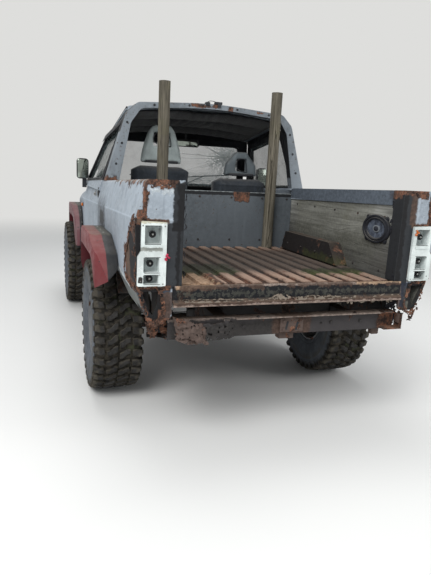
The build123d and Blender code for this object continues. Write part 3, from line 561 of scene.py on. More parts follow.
def cloth(name, tone, threads=900.0, rough=0.92):
    """Woven cloth with fading and fluff."""
    made, n, shader, at, facing = begin(name, specular=0.2, sheen=0.25, sheen_roughness=0.5)
    weave = n.group("Weave", at=at, threads=threads)
    tone = tone_of(tone)
    base = n.mix(n.smooth(weave["Tone"], 0.38, 0.62), shade(tone, 0.72), shade(tone, 1.35))
    base = n.mix(n.times(n.smooth(weave["Height"], -0.2, 0.8), 0.3), base, shade(tone, 1.6))
    film = n.group("Dust", at=at, facing=facing, amount=0.3)["Mask"]
    base = n.mix(film, base, linear((0.42, 0.40, 0.37)))
    dull = n.smooth(weave["Tone"], 0.3, 0.7, rough - 0.1, rough)
    return close(made, n, shader, base, dull, n.plus(weave["Height"], weave["Tone"]), 0.0007, 0.7)


def glazed(name, tone, alpha, dirt=0.3, rough=0.06, blow=None):
    """Glass that light passes straight through, with a film of dirt. blow is where something hit it, and it is crazed
    round there and along its foot."""
    made, n, shader, at, facing = begin(name, specular=0.6)
    film = n.times(n.smooth(n.noise(at, 6.0, 7, 0.7), 0.42, 0.72), dirt)
    x, y, z = n.parts(at)
    tone = tone_of(tone)
    base = n.mix(film, tone, linear((0.62, 0.61, 0.56)))
    cover = n.plus(alpha, n.times(film, 0.5))
    if blow:
        away = n.add("VectorMath", n.vector("SUBTRACT", at, blow), operation="LENGTH").outputs["Value"]
        foot = n.times(n.smooth(z, 1.43, 1.31), n.smooth(n.math("ABSOLUTE", n.plus(y, 0.28)), 0.42, 0.22))
        coarse = n.times(n.smooth(n.cells(at, 40.0, "DISTANCE_TO_EDGE"), 0.06, 0.01), n.smooth(away, 0.26, 0.06))
        small = n.times(n.smooth(n.cells(at, 62.0, "DISTANCE_TO_EDGE"), 0.10, 0.02),
                       n.most(foot, n.smooth(away, 0.15, 0.03)))
        split = n.most(coarse, small)
        base = n.mix(split, base, linear((0.93, 0.96, 0.96)))
        cover = n.plus(cover, n.times(split, 0.65))
    n.put(shader["Base Color"], base)
    n.put(shader["Alpha"], cover)
    n.put(shader["Roughness"], n.plus(rough, n.times(film, 0.5)))
    n.put(shader["Normal"], n.bump(n.noise(at, 8.0, 2, 0.5), 0.0005, 0.1))
    return made


# Worn paint, dirt and painted shade of single panels: kind, middle, half size, then as many of the values of USUAL_MARK
# as a row changes

QUARTER_LEFT = (
    # Dark patch behind the door gap: painted shadow, with darker blotches inside it.
    ("shadow", (-0.74, 0.8, 1.055), (0.16, 0.05, 0.075), 0.1, 0.16, 14.0, 0.75),
    ("grime", (-0.78, 0.8, 1.06), (0.1, 0.05, 0.05), 0.03, 0.3, 22.0, 0.8),
    ("silt", (-1.6, 0.78, 0.76), (0.45, 0.08, 0.05), 0.05, 0.05, 30.0, 0.75),
    # Along the tuck fold: painted shadow under it, and a painted highlight along its edge.
    ("shadow", (-1.55, 0.79, 0.812), (0.14, 0.05, 0.012), 0.02, 0.05, 30.0, 0.8, 0.1),
    ("scrape", (-1.62, 0.8, 0.842), (0.15, 0.04, 0.01), 0.02, 0.03, 30.0, 0.8, 0.12),
    ("brown", (-1.86, 0.79, 0.96), (0.1, 0.06, 0.09), 0.02, 0.06, 26.0, None, -0.4),
    # Painted shade of the cavity in the torn rear corner, where it reaches onto the side.
    ("black", (-1.94, 0.79, 1.0), (0.07, 0.05, 0.12), 0.015, 0.07, 24.0, None, -0.3),
    ("rust", (-1.96, 0.79, 1.13), (0.05, 0.05, 0.035), 0.01, 0.05, 30.0, None, 0.3),
    ("rust", (-1.75, 0.79, 0.95), (0.018, 0.05, 0.08), 0.01, 0.05, 30.0, None, -0.5),
    ("rust", (-1.88, 0.79, 0.865), (0.15, 0.06, 0.016), 0.01),
    # Painted shade of the cavity in the torn rear corner.
    ("black", (-2.022, 0.8, 1.03), (0.02, 0.05, 0.15), 0.006, 0.02, 40.0),
    ("rust", (-2.04, 0.69, 1.352), (0.05, 0.07, 0.016), 0.01, 0.05, 26.0),
    ("rust", (-2.04, 0.768, 1.25), (0.02, 0.006, 0.07), 0.006, 0.02, 50.0),
    ("rust", (-2.04, 0.79, 1.185), (0.02, 0.01, 0.03), 0.006, 0.02, 50.0),
    ("scrape", (-2.04, 0.69, 1.305), (0.02, 0.05, 0.004), 0.01, 0.1, 90.0, 0.5),
    ("black", (-2.04, 0.64, 1.01), (0.03, 0.034, 0.15), 0.008, 0.02, 40.0, 0.92),
    ("black", (-2.04, 0.612, 1.23), (0.03, 0.024, 0.1), 0.008, 0.03, 40.0, 0.95),
    ("brown", (-2.04, 0.73, 1.17), (0.03, 0.07, 0.005), 0.008, 0.02, 60.0),
    ("blue", (-2.03, 0.735, 0.77), (0.06, 0.09, 0.09), 0.008, 0.03, 30.0, 0.9),
    ("black", (-1.9, 0.66, 0.78), (0.13, 0.085, 0.085), 0.006, 0.01, 30.0, 0.95),
    ("umber", (-2.04, 0.66, 0.76), (0.03, 0.03, 0.08), 0.01, 0.06, 50.0, 0.9),
    ("rust", (-2.0, 0.73, 0.705), (0.09, 0.1, 0.01), 0.01, 0.05, 40.0),
    ("rust", (-2.04, 0.735, 0.862), (0.03, 0.09, 0.008), 0.008, 0.03, 50.0),
    ("rust", (-2.04, 0.69, 0.79), (0.03, 0.006, 0.07), 0.01, 0.05, 50.0),
    ("rust", (-1.3, 0.72, 1.35), (0.72, 0.04, 0.01), 0.02, 0.18, 15.0),
    ("rail", (-1.34, 0.617, 1.3), (0.6, 0.024, 0.06), 0.006, 0.01, 30.0, 0.9),
    ("black", (-2.0, 0.594, 1.1), (0.06, 0.02, 0.24), 0.01, 0.05, 30.0, 0.95),
    ("black", (-2.045, 0.732, 0.812), (0.014, 0.052, 0.046), 0.008, 0.02, 40.0, 0.96),
    ("black", (-2.045, 0.732, 0.752), (0.014, 0.032, 0.04), 0.008, 0.02, 40.0, 0.96),
)
QUARTER_RIGHT = (
    ("black", (-2.0, -0.594, 1.1), (0.06, 0.02, 0.24), 0.01, 0.05, 40.0, 0.97),
    ("rust", (-1.965, -0.595, 1.335), (0.05, 0.03, 0.022), 0.012, 0.06, 34.0),
    ("rail", (-1.34, -0.617, 1.3), (0.6, 0.024, 0.06), 0.006, 0.01, 30.0, 0.9),
    ("black", (-2.04, -0.632, 1.1), (0.03, 0.036, 0.25), 0.008, 0.02, 40.0, 0.94),
    ("umber", (-2.04, -0.66, 1.27), (0.03, 0.014, 0.09), 0.01, 0.03, 40.0, 0.95),
    ("umber", (-2.04, -0.676, 0.95), (0.03, 0.006, 0.08), 0.006, 0.03, 40.0, 0.95),
    ("black", (-1.9, -0.66, 0.78), (0.13, 0.085, 0.085), 0.006, 0.01, 30.0, 0.95),
    ("rust", (-2.04, -0.66, 1.35), (0.02, 0.08, 0.016), 0.01, 0.05, 34.0),
    ("umber", (-2.04, -0.66, 0.76), (0.03, 0.03, 0.08), 0.01, 0.06, 50.0, 0.9),
    ("blue", (-2.03, -0.735, 0.77), (0.06, 0.09, 0.09), 0.008, 0.03, 30.0, 0.9),
    ("rust", (-2.0, -0.73, 0.71), (0.1, 0.1, 0.012), 0.012, 0.06, 34.0),
    ("rust", (-2.04, -0.77, 1.24), (0.02, 0.01, 0.08), 0.008, 0.03, 40.0),
    ("brown", (-2.04, -0.73, 1.17), (0.03, 0.07, 0.006), 0.01, 0.02, 60.0),
    ("black", (-1.95, -0.79, 0.96), (0.06, 0.05, 0.07), 0.015, 0.07, 24.0, None, -0.3),
    ("rust", (-1.9, -0.79, 0.875), (0.14, 0.06, 0.02), 0.01, 0.05),
    ("silt", (-1.6, -0.78, 0.76), (0.45, 0.08, 0.05), 0.05, 0.05, 30.0, 0.75),
    ("rust", (-1.3, -0.72, 1.35), (0.72, 0.04, 0.01), 0.02, 0.18, 15.0),
    ("black", (-2.045, -0.732, 0.812), (0.014, 0.052, 0.046), 0.008, 0.02, 40.0, 0.96),
    ("black", (-2.045, -0.732, 0.752), (0.014, 0.032, 0.04), 0.008, 0.02, 40.0, 0.96),
)
HOOP = (
    ("rust", (-0.6, 0.07, 1.85), (0.03, 0.09, 0.004), 0.008, 0.07, 26.0),
    ("rust", (-0.6, -0.02, 1.862), (0.03, 0.02, 0.01), 0.008, 0.05, 34.0),
    ("rust", (-0.6, -0.13, 1.844), (0.03, 0.014, 0.012), 0.006, 0.03, 60.0),
    ("rust", (-0.6, -0.36, 1.836), (0.03, 0.02, 0.003), 0.006, 0.03, 60.0),
    ("rust", (-0.57, 0.74, 1.3), (0.05, 0.05, 0.02), 0.02, 0.08, 34.0),
    ("black", (-0.53, 0.0, 1.55), (0.055, 0.66, 0.4), 0.004, 0.01, 30.0, 0.93),
)
LAMPS = (
    ("shadow", (-2.0, 0.0, 1.02), (0.036, 0.79, 0.16), 0.012, 0.05, 50.0, 0.25),
    ("yellow", (-2.053, 0.73, 1.168), (0.01, 0.07, 0.004), 0.006, 0.02, 80.0, 0.6),
    ("grime", (-2.053, 0.785, 0.905), (0.01, 0.008, 0.012), 0.004, 0.01, 90.0),
    ("silt", (-2.053, 0.74, 1.045), (0.01, 0.05, 0.006), 0.006, 0.02, 70.0, 0.7),
)
SILL = (
    ("black", (-2.05, 0.0, 0.835), (0.02, 0.66, 0.03), 0.012, 0.05, 30.0, 0.8),
    ("pink", (-2.03, 0.0, 0.872), (0.03, 0.62, 0.005), 0.006, 0.03, 30.0, 0.85),
    ("tan", (-2.03, 0.52, 0.872), (0.03, 0.09, 0.012), 0.008, 0.04, 30.0, 0.85),
    ("umber", (-2.05, -0.3, 0.87), (0.02, 0.34, 0.007), 0.008, 0.1, 18.0, 0.85),
    ("umber", (-2.05, 0.38, 0.868), (0.02, 0.2, 0.01), 0.008, 0.09, 18.0, 0.85),
    ("tan", (-2.05, -0.5, 0.872), (0.02, 0.14, 0.004), 0.006, 0.06, 30.0, 0.8),
    ("silt", (-2.05, 0.0, 0.83), (0.02, 0.6, 0.006), 0.006, 0.16, 44.0, 0.28),
    ("umber", (-2.06, 0.0, 0.785), (0.02, 0.66, 0.012), 0.008, 0.05, 24.0),
    ("pink", (-2.06, 0.0, 0.776), (0.02, 0.66, 0.004), 0.006, 0.04, 30.0, 0.7),
)
BED = (
    ("rust", (-1.85, 0.5, 0.872), (0.21, 0.11, 0.02), 0.04, 0.08, 12.0, 0.95),
    ("tan", (-1.88, 0.49, 0.872), (0.13, 0.08, 0.02), 0.03, 0.14, 30.0, 0.8),
    ("moss", (-1.6, 0.36, 0.872), (0.1, 0.16, 0.02), 0.06, 0.18, 26.0),
    ("moss", (-1.72, -0.45, 0.872), (0.05, 0.22, 0.02), 0.06, 0.18, 26.0),
    ("grime", (-1.3, -0.1, 0.872), (0.3, 0.5, 0.02), 0.25, 0.12, 10.0, 0.8),
)
BOARD = (
    ("grime", (-1.4, 0.0, 0.95), (0.7, 0.7, 0.06), 0.12, 0.16, 12.0, 0.7),
    ("silt", (-1.3, 0.0, 1.14), (0.4, 0.7, 0.1), 0.16, 0.25, 9.0, 0.5),
)
BULKHEAD = (
    ("black", (-0.74, 0.0, 1.253), (0.03, 0.62, 0.012), 0.004, 0.01, 30.0, 0.9),
    ("bare", (-0.745, 0.0, 1.268), (0.03, 0.62, 0.004), 0.003, 0.01, 30.0, 0.7),
    ("rust", (-0.74, -0.2, 1.24), (0.03, 0.05, 0.03), 0.02, 0.06),
    ("rust", (-0.74, 0.42, 1.2), (0.03, 0.03, 0.05), 0.02, 0.06),
)
MEMBER = (
    ("pink", (-2.01, 0.0, 0.7), (0.04, 0.66, 0.005), 0.008, 0.04, 30.0, 0.6),
    ("grime", (-2.0, 0.3, 0.63), (0.02, 0.3, 0.03), 0.03, 0.12, 14.0, 0.7),
    ("umber", (-2.0, -0.02, 0.65), (0.02, 0.1, 0.05), 0.02, 0.06, 26.0, 0.9),
    ("rust", (-2.03, -0.6, 0.65), (0.05, 0.05, 0.04), 0.02, 0.05, 26.0),
)
FLARE_DUST = tuple(("silt", (x, side * y, 1.013), (0.24, 0.05, 0.003), 0.012, 0.03, 30.0, 0.35)
                   for x, y in ((REAR_AXLE, 0.87), (FRONT_AXLE, 0.81)) for side in (1, -1))


def tyre_finish(name):
    """Rubber that follows the tyre's own attributes: rise over the groove floor, and way down the sidewall."""
    made, n, shader, at, facing = begin(name, specular=0.3)
    tones = settings("tyre")
    rubber, mud = linear(tones.rubber), linear(tones.mud)
    rise = n.add("Attribute", attribute_name="rise").outputs["Fac"]
    side = n.add("Attribute", attribute_name="side").outputs["Fac"]
    base = n.mix(n.smooth(n.noise(at, 20.0, 5, 0.65), 0.36, 0.64), shade(rubber, 0.60), shade(rubber, 1.7))
    grey = n.mix(n.noise(at, 34.0, 5, 0.6), linear((0.28, 0.31, 0.34)), linear((0.48, 0.50, 0.53)))
    base = n.mix(n.times(n.smooth(side, 0.25, 0.8), n.smooth(n.noise(at, 7.0, 5, 0.6), 0.3, 0.7, 0.45, 0.85)),
                 base, grey)
    clods = n.noise(at, 26.0, 6, 0.65)
    mud_tone = n.mix(n.smooth(n.noise(at, 12.0, 4, 0.6), 0.52, 0.66), mud, linear((0.25, 0.26, 0.19)))
    mud_tone = n.mix(n.smooth(clods, 0.40, 0.62), shade(mud, 0.16), mud_tone)
    low = n.smooth(n.plus(rise, n.times(n.minus(clods, 0.5), 1.3)), 0.62, 0.10)
    worn = n.times(n.smooth(rise, 0.7, 1.0), n.smooth(clods, 0.5, 0.66))
    base = n.mix(n.times(low, n.smooth(side, 0.6, 0.25)), base, mud_tone)
    flank = n.times(n.smooth(rise, 0.20, 0.55), n.smooth(rise, 0.99, 0.90))
    flank = n.times(flank, n.smooth(n.noise(at, 15.0, 5, 0.6), 0.36, 0.52))
    base = n.mix(n.times(flank, 0.65), base, linear(screen(84, 79, 69)))
    base = n.mix(n.times(worn, 0.6), base, shade(mud, 0.85))
    return close(made, n, shader, base, n.smooth(clods, 0.3, 0.7, 0.78, 0.97), clods, 0.003, 0.6)


def bed_finish(name):
    """Ribbed bed floor: worn pinkish ribs, dark rusty valleys, moss and dirt."""
    made, n, shader, at, facing = begin(name, specular=0.2)
    x, y, z = n.parts(at)
    eaten = n.group("Rust", at=at, scale=9.0, pale=0.5)
    worn = n.mix(n.noise(n.scale(at, (0.4, 2.0, 1.0)), 22.0, 5, 0.65), linear((0.63, 0.54, 0.48)),
                 linear((0.42, 0.33, 0.28)))
    top = n.plus(z, n.times(n.minus(n.noise(at, 40.0, 5, 0.7), 0.5), 0.012))
    base = n.mix(n.smooth(top, 0.862, 0.870), n.mix(0.55, eaten["Color"], linear((0.13, 0.10, 0.08))), worn)
    base = n.mix(n.smooth(n.noise(at, 8.0, 6, 0.7), 0.58, 0.70), base, eaten["Color"])
    base, dull, height = wear_and_shade(n, at, base, 0.86, eaten["Height"], BED)
    return close(made, n, shader, base, dull, height, 0.003, 0.7)


def flare_finish(name):
    """Painted flares: red at the rear wheels, faded at the front ones, with a black strip along the inner edge, and
    painted shade on the faces that look down.
    """
    made, n, shader, at, facing = begin(name, specular=0.25)
    x, y, z = n.parts(at)
    red, faded, dark = (tone_of("body." + k) for k in ("red", "faded_red", "dark_red"))
    base = n.mix(n.smooth(x, 0.0, 0.2), red, faded)
    base = n.mix(n.smooth(n.noise(at, 3.4, 5, 0.6), 0.36, 0.66), n.mix(0.35, base, dark), base)
    pale = n.group("Runs", at=at, fine=20.0, cover=0.4)["Mask"]
    base = n.mix(n.times(pale, 0.3), base, linear((0.62, 0.50, 0.50)))
    inner = n.plus(n.math("ABSOLUTE", y), n.times(n.minus(n.noise(at, 30.0, 4, 0.6), 0.5), 0.004))
    inner = n.plus(inner, n.smooth(x, 0.0, 0.2, 0.0, 0.042))
    base = n.mix(n.smooth(inner, 0.868, 0.862), base, n.mix(n.noise(at, 24.0, 5, 0.6), linear((0.06, 0.07, 0.08)),
                                                         linear((0.15, 0.16, 0.18))))
    base = n.mix(n.group("Chips", at=at, scale=60.0, amount=0.35)["Mask"], base, linear((0.20, 0.19, 0.20)))
    # Faces that look down take the red darkened further: painted shade.
    under = n.smooth(n.parts(facing)[2], -0.25, -0.6)
    base = n.mix(under, base, shade(dark, 0.8))
    base, dull, height = wear_and_shade(n, at, base, n.smooth(n.noise(at, 16.0, 4, 0.6), 0.35, 0.7, 0.42, 0.72),
                              n.noise(at, 180.0, 3, 0.5), FLARE_DUST)
    film = n.group("Dust", at=at, facing=facing, amount=0.16)["Mask"]
    base = n.mix(film, base, linear((0.47, 0.44, 0.40)))
    return close(made, n, shader, base, n.blend(film, dull, 0.9), height, 0.0006, 0.5)


def speaker_finish(name):
    """Black frame, roll and grey cone, told apart by how far out they lie in the oval."""
    made, n, shader, at, facing = begin(name, specular=0.3)
    x, y, z = n.parts(at)
    flat = n.out("CombineXYZ", n.math("DIVIDE", n.plus(x, -SPEAKER[0]), OVAL[0]), 0.0,
                 n.math("DIVIDE", n.minus(z, SPEAKER[2]), OVAL[1]))
    away = n.add("VectorMath", flat, operation="LENGTH").outputs["Value"]
    cone = n.mix(n.smooth(n.noise(at, 40.0, 5, 0.65), 0.36, 0.66), linear((0.19, 0.21, 0.25)),
                 linear((0.34, 0.37, 0.42)))
    dark = n.mix(n.noise(at, 30.0, 5, 0.6), linear((0.05, 0.055, 0.07)), linear((0.14, 0.15, 0.18)))
    base = n.mix(n.smooth(away, 0.062, 0.065), cone, dark)
    base = n.mix(n.smooth(away, 0.026, 0.024), base, linear((0.44, 0.46, 0.48)))
    base = n.mix(n.smooth(away, 0.019, 0.017), base, linear((0.15, 0.16, 0.19)))
    film = n.group("Dust", at=at, facing=facing, amount=0.4)["Mask"]
    base = n.mix(film, base, linear((0.44, 0.42, 0.38)))
    dull = n.smooth(n.noise(at, 25.0, 4, 0.6), 0.3, 0.7, 0.55, 0.85)
    return close(made, n, shader, base, dull, n.noise(at, 240.0, 2, 0.5), 0.0004, 0.5)


def shining(name, tone, metal, rough):
    """Mirror, reflector or bright metal with a film of dirt."""
    made, n, shader, at, facing = begin(name, metallic=metal, specular=0.6)
    tone = tone_of(tone)
    film = n.smooth(n.noise(at, 14.0, 6, 0.7), 0.42, 0.74)
    base = n.mix(n.times(film, 0.45), tone, linear((0.36, 0.35, 0.32)))
    dull = n.plus(rough, n.times(film, 0.35))
    return close(made, n, shader, base, dull, n.noise(at, 90.0, 3, 0.5), 0.0003, 0.3)


def lens(name, tone, rough=0.18):
    """Coloured lens plastic with moulded ribs."""
    made, n, shader, at, facing = begin(name, specular=0.6, transmission=0.35)
    tone = tone_of(tone)
    x, y, z = n.parts(at)
    ribs = n.math("SINE", n.times(z, 900.0))
    base = n.mix(n.noise(at, 60.0, 4, 0.6), shade(tone, 0.6), shade(tone, 1.3))
    dull = n.smooth(n.noise(at, 40.0, 4, 0.6), 0.3, 0.7, rough, rough + 0.25)
    return close(made, n, shader, base, dull, ribs, 0.0006, 0.5)


FINISHES = {
    "quarter left": use(painted, "body.paint", marks=QUARTER_LEFT, runs=0.55, crease=0.75, rust=0.05, chips=0.25),
    "quarter right": use(painted, "body.paint", marks=QUARTER_RIGHT, runs=0.55, crease=0.75, rust=0.20, chips=0.3),
    "cab paint": use(painted, "body.paint", runs=0.6, crease=0.0, rust=0.12, chips=0.3),
    "door paint": use(painted, "body.paint", runs=0.6, crease=0.75, rust=0.10, chips=0.3, frames=True),
    "roof paint": use(painted, "body.paint", runs=0.2, rust=0.15, dust=0.6),
    "hoop paint": use(painted, "body.frame_grey", marks=HOOP, runs=0.5, rust=0.12, chips=0.45, dust=0.3),
    "screen frame": use(painted, "body.black", runs=0.2, rust=0.15, chips=0.2),
    "bed floor": bed_finish,
    "bed sill": use(rusted, (36, 39, 46), paint=0.72, scale=12.0, marks=SILL),
    "wheel boxes": use(rusted, (38, 35, 35), paint=0.7, marks=(
        ("moss", (-1.4, -0.56, 0.885), (0.25, 0.06, 0.012), 0.03, 0.1, 24.0, 0.5),)),
    "cross-member": use(rusted, (56, 53, 54), paint=0.86, scale=14.0, marks=MEMBER),
    "rusty iron": use(rusted, None, scale=14.0, pale=0.6),
    "crust": use(rusted, None, scale=22.0, pale=0.8, dust=0.1),
    "torn skin": use(rusted, (30, 31, 37), paint=0.72, scale=22.0, pale=0.8, dust=0.1),
    "torn lip": use(rusted, (126, 116, 104), paint=0.62, scale=24.0, pale=0.8, dust=0.2),
    "torn brown": use(rusted, (86, 72, 66), paint=0.70, scale=24.0, pale=0.9, dust=0.1),
    "roof rail": use(painted, "body.black", runs=0.2, rust=0.2, chips=0.2),
    "frame iron": use(rusted, "body.chassis", paint=0.62, scale=9.0),
    "cast iron": use(rusted, (86, 82, 78), paint=0.5, scale=10.0),
    "rim steel": use(rusted, (120, 122, 124), paint=0.66, scale=13.0),
    "bulkhead board": use(painted, (84, 90, 95), marks=BULKHEAD, runs=0.6, rust=0.12, chips=0.4),
    "side board": use(wooden, "wood.board", (0.0, math.pi / 2, 0.0), 60.0, 0.35, BOARD),
    "post wood": use(wooden, "wood.post", (0.0, 0.0, 0.0), 120.0, 0.9, (), 1.960),
    "lamp shell": use(moulded, "lamp.shell", 0.42, 200.0, LAMPS, 0.25, 0.0),
    "black trim": use(moulded, "body.black", 0.5, 240.0),
    "bumper plastic": use(moulded, (62, 64, 68), 0.6, 200.0),
    "mirror shell": use(moulded, (26, 28, 32), 0.35, 240.0),
    "dash plastic": use(moulded, "cab.plastic", 0.6, 320.0),
    # The cladding takes the red darkened as painted shade.
    "cladding": use(painted, "body.dark_red", runs=0.4, rust=0.02, chips=0.4, dust=0.5),
    "flare paint": flare_finish,
    "tyre": tyre_finish,
    "speaker": speaker_finish,
    "seat cloth": use(cloth, "cab.cloth"),
    "roof lining": use(cloth, "cab.lining", 1200.0),
    "grey vinyl": use(moulded, "cab.vinyl", 0.5, 420.0, (), 0.3, 0.0),
    "dark vinyl": use(moulded, "cab.dark_vinyl", 0.5, 420.0, (), 0.3, 0.0),
    "clear glass": use(glazed, (110, 134, 140), 0.30, 0.10, 0.06, BLOW),
    "side glass": use(glazed, (84, 96, 96), 0.42, 0.3),
    "lamp glass": use(glazed, (206, 214, 214), 0.35, 0.3),
    "crack": use(glazed, (236, 242, 240), 0.85, 0.1, 0.4),
    "mirror glass": use(shining, (150, 158, 150), 1.0, 0.06),
    "reflector": use(shining, (220, 222, 224), 1.0, 0.12),
    "bright steel": use(shining, (150, 150, 148), 1.0, 0.35),
    "red lens": use(lens, "lamp.red"),
    "amber lens": use(lens, "lamp.amber"),
}


def finish(name):
    """The material of that finish, made when it is first asked for."""
    return bpy.data.materials.get(name) or FINISHES[name](name)


NODE_FINISH = {
    "quarter_panel_left": "quarter left", "quarter_panel_right": "quarter right",
    "door_left": "door paint", "door_right": "door paint", "front_wings": "door paint",
    "bonnet": "cab paint", "grille_panel": "cab paint", "cowl_panel": "cab paint", "roof_panel": "roof paint",
    "rear_hoop": "hoop paint", "windscreen_frame": "screen frame", "bed_floor": "bed floor", "rear_sill": "bed sill",
    "arch_boxes": "wheel boxes", "wheel_housings": "frame iron", "rear_crossmember": "cross-member",
    "bumper_bracket": "rusty iron", "chassis_frame": "frame iron", "cab_floor": "frame iron",
    "bulkhead": "bulkhead board",
    "side_boards": "side board", "wooden_posts": "post wood", "lamp_housings": "lamp shell", "speakers": "speaker",
    "front_bumper": "bumper plastic", "door_mirror_left": "mirror shell", "door_mirror_right": "mirror shell",
    "interior_mirror": "black trim", "dashboard": "dash plastic", "steering_wheel": "black trim", "sills": "cladding",
    "flares": "flare paint", "windscreen_glass": "clear glass", "door_glass_left": "side glass",
    "door_glass_right": "side glass", "headlamps": "lamp glass", "engine_and_gearbox": "cast iron",
    "rear_axle": "frame iron", "front_axle": "frame iron", "knuckle_left": "cast iron", "knuckle_right": "cast iron",
    "leaf_springs": "frame iron", "fuel_tank": "frame iron", "exhaust": "rusty iron", "seat_cushions": "seat cloth",
    "seat_backs": "seat cloth", "head_restraints": "grey vinyl",
    **{f"rim_{place}_{side}": "rim steel" for place, x in WHEELS for side, s in SIDES},
    **{f"tyre_{place}_{side}": "tyre" for place, x in WHEELS for side, s in SIDES},
}


# Shapes

def rounded(bm, edges, size, segments=2):
    bmesh.ops.bevel(bm, geom=edges, offset=size, offset_type="OFFSET", segments=segments, profile=0.5, affect="EDGES",
                    material=-1, clamp_overlap=True)


def verts_of(made):
    return [v for v in made if isinstance(v, bmesh.types.BMVert)]


def grid(bm, across, along):
    """Flat square of cells, one wide and round the origin, to be bent into a sheet."""
    return bmesh.ops.create_grid(bm, x_segments=across, y_segments=along, size=0.5)["verts"]


def ring_round(corners, far, near, place):
    """Closed line round these corners, with points close to each one so that a tube turns it in a small curve."""
    ring = []
    for k, corner in enumerate(corners):
        here, before, after = Vector(corner), Vector(corners[k - 1]), Vector(corners[(k + 1) % len(corners)])
        for toward, reach in ((before, far), (before, near), (after, near), (after, far)):
            ring.append(place(*(here + (toward - here).normalized() * reach)))
    return ring + ring[:2]


def block(bm, low, high, bevel=0.0, segments=2, turn=None):
    """Box between two corners with rounded edges. turn is a matrix that leans it about its middle."""
    low, high = Vector(low), Vector(high)
    size = high - low
    place = Matrix.Translation((low + high) / 2) @ (turn or Matrix()) @ Matrix.Diagonal((*size, 1))
    made = bmesh.ops.create_cube(bm, size=1.0, matrix=place)["verts"]
    if bevel:
        edges = list({e for v in made for e in v.link_edges})
        rounded(bm, edges, bevel, segments)


def rod(bm, start, end, radius, end_radius=None, sides=16):
    start, end = Vector(start), Vector(end)
    place = Matrix.Translation((start + end) / 2) @ (end - start).to_track_quat("Z", "Y").to_matrix().to_4x4()
    bmesh.ops.create_cone(bm, cap_ends=True, cap_tris=False, segments=sides, radius1=radius,
                          radius2=radius if end_radius is None else end_radius, depth=(end - start).length,
                          matrix=place)


def turned(bm, outline, centre, axis, out, steps=48):
    """Spins an outline of (way along the axis, radius) points round the axis."""
    centre, axis, out = Vector(centre), Vector(axis), Vector(out)
    line = [bm.verts.new(centre + axis * a + out * r) for a, r in outline]
    edges = [bm.edges.new(pair) for pair in zip(line, line[1:])]
    bmesh.ops.spin(bm, geom=line + edges, cent=centre, axis=axis, angle=2 * math.pi, steps=steps, use_merge=True)


def plate(bm, outline, thick, place, bevel=0.0):
    """Flat plate with this outline in the plane of a matrix, thickened along its Z."""
    face = bm.faces.new([bm.verts.new(place @ Vector((x, y, 0))) for x, y in outline])
    made = bmesh.ops.extrude_face_region(bm, geom=[face])["geom"]
    bmesh.ops.translate(bm, verts=verts_of(made), vec=place.to_3x3() @ Vector((0, 0, thick)))
    if bevel:
        rounded(bm, list({e for v in verts_of(made) for e in v.link_edges}), bevel)


def tube(bm, points, radius, sides=8):
    """Round bar or wire along a smooth line through these points."""
    line = bpy.data.curves.new("line", "CURVE")
    line.dimensions = "3D"
    spline = line.splines.new("NURBS")
    spline.points.add(len(points) - 1)
    for place, point in zip(spline.points, points):
        place.co = (*point, 1)
    spline.order_u = 3
    spline.use_endpoint_u = True
    line.bevel_depth = radius
    line.bevel_resolution = max(1, sides // 4)
    line.use_fill_caps = True
    holder = bpy.data.objects.new("line", line)
    mesh = bpy.data.meshes.new_from_object(holder)
    bm.from_mesh(mesh)
    bpy.data.objects.remove(holder)
    bpy.data.curves.remove(line)
    bpy.data.meshes.remove(mesh)


def bolt(bm, at, facing, size=0.008):
    """Hexagon head on a washer."""
    at, facing = Vector(at), Vector(facing).normalized()
    rod(bm, at - facing * 0.001, at + facing * size * 0.22, size * 1.35, sides=14)
    rod(bm, at, at + facing * size * 0.85, size, size * 0.9, sides=6)


def screw(bm, at, facing, size=0.005):
    """Low round head."""
    at, facing = Vector(at), Vector(facing).normalized()
    rod(bm, at - facing * 0.001, at + facing * size * 0.45, size, size * 0.62, sides=10)


# Material slot names that add_piece looks up for the pieces that are not given one
SLOTS = {
    "black trim": "black_plastic", "bright steel": "rim_steel", "crust": "rusty_steel", "torn skin": "rusty_steel",
    "torn lip": "rusty_steel", "torn brown": "rusty_steel", "rusty iron": "rusty_steel", "frame iron": "black_steel",
    "roof rail": "black_steel", "roof lining": "seat_cloth", "seat cloth": "seat_cloth", "amber lens": "lamp_glass",
    "reflector": "lamp_glass", "mirror glass": "clear_glass", "crack": "clear_glass", "speaker": "grey_plastic",
    "dash plastic": "grey_plastic", "cast iron": "cast_metal", "flare paint": "red_paint", "post wood": "post_wood",
    "tyre": "tyre_rubber",
}


def add_piece(name, bm, look, body="body", slot=None, angle=35, replaces=(), wall=0.0):
    """Makes the mesh an object in its place, with its finish, and hangs it on a body of the frame. wall thickens a
    thin sheet."""
    mesh = bpy.data.meshes.new(name)
    bmesh.ops.recalc_face_normals(bm, faces=bm.faces)
    if wall:
        bmesh.ops.solidify(bm, geom=bm.faces[:], thickness=wall)
    bm.to_mesh(mesh)
    bm.free()
    made = bpy.data.objects.new(name, mesh)
    bpy.context.scene.collection.objects.link(made)
    mesh.materials.append(finish(look))
    mesh.polygons.foreach_set("use_smooth", [True] * len(mesh.polygons))
    mesh.set_sharp_from_angle(angle=math.radians(angle))
    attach(made, body)
    slot = slot or SLOTS[look]
    if replaces:
        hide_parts(*replaces)
    return made


def surface(*nodes):
    """Search tree of CAD nodes, to lay pieces on them."""
    points, faces = [], []
    for name in nodes:
        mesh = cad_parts[name].data
        first = len(points)
        points += [v.co.copy() for v in mesh.vertices]
        faces += [[first + i for i in p.vertices] for p in mesh.polygons]
    return BVHTree.FromPolygons(points, faces)


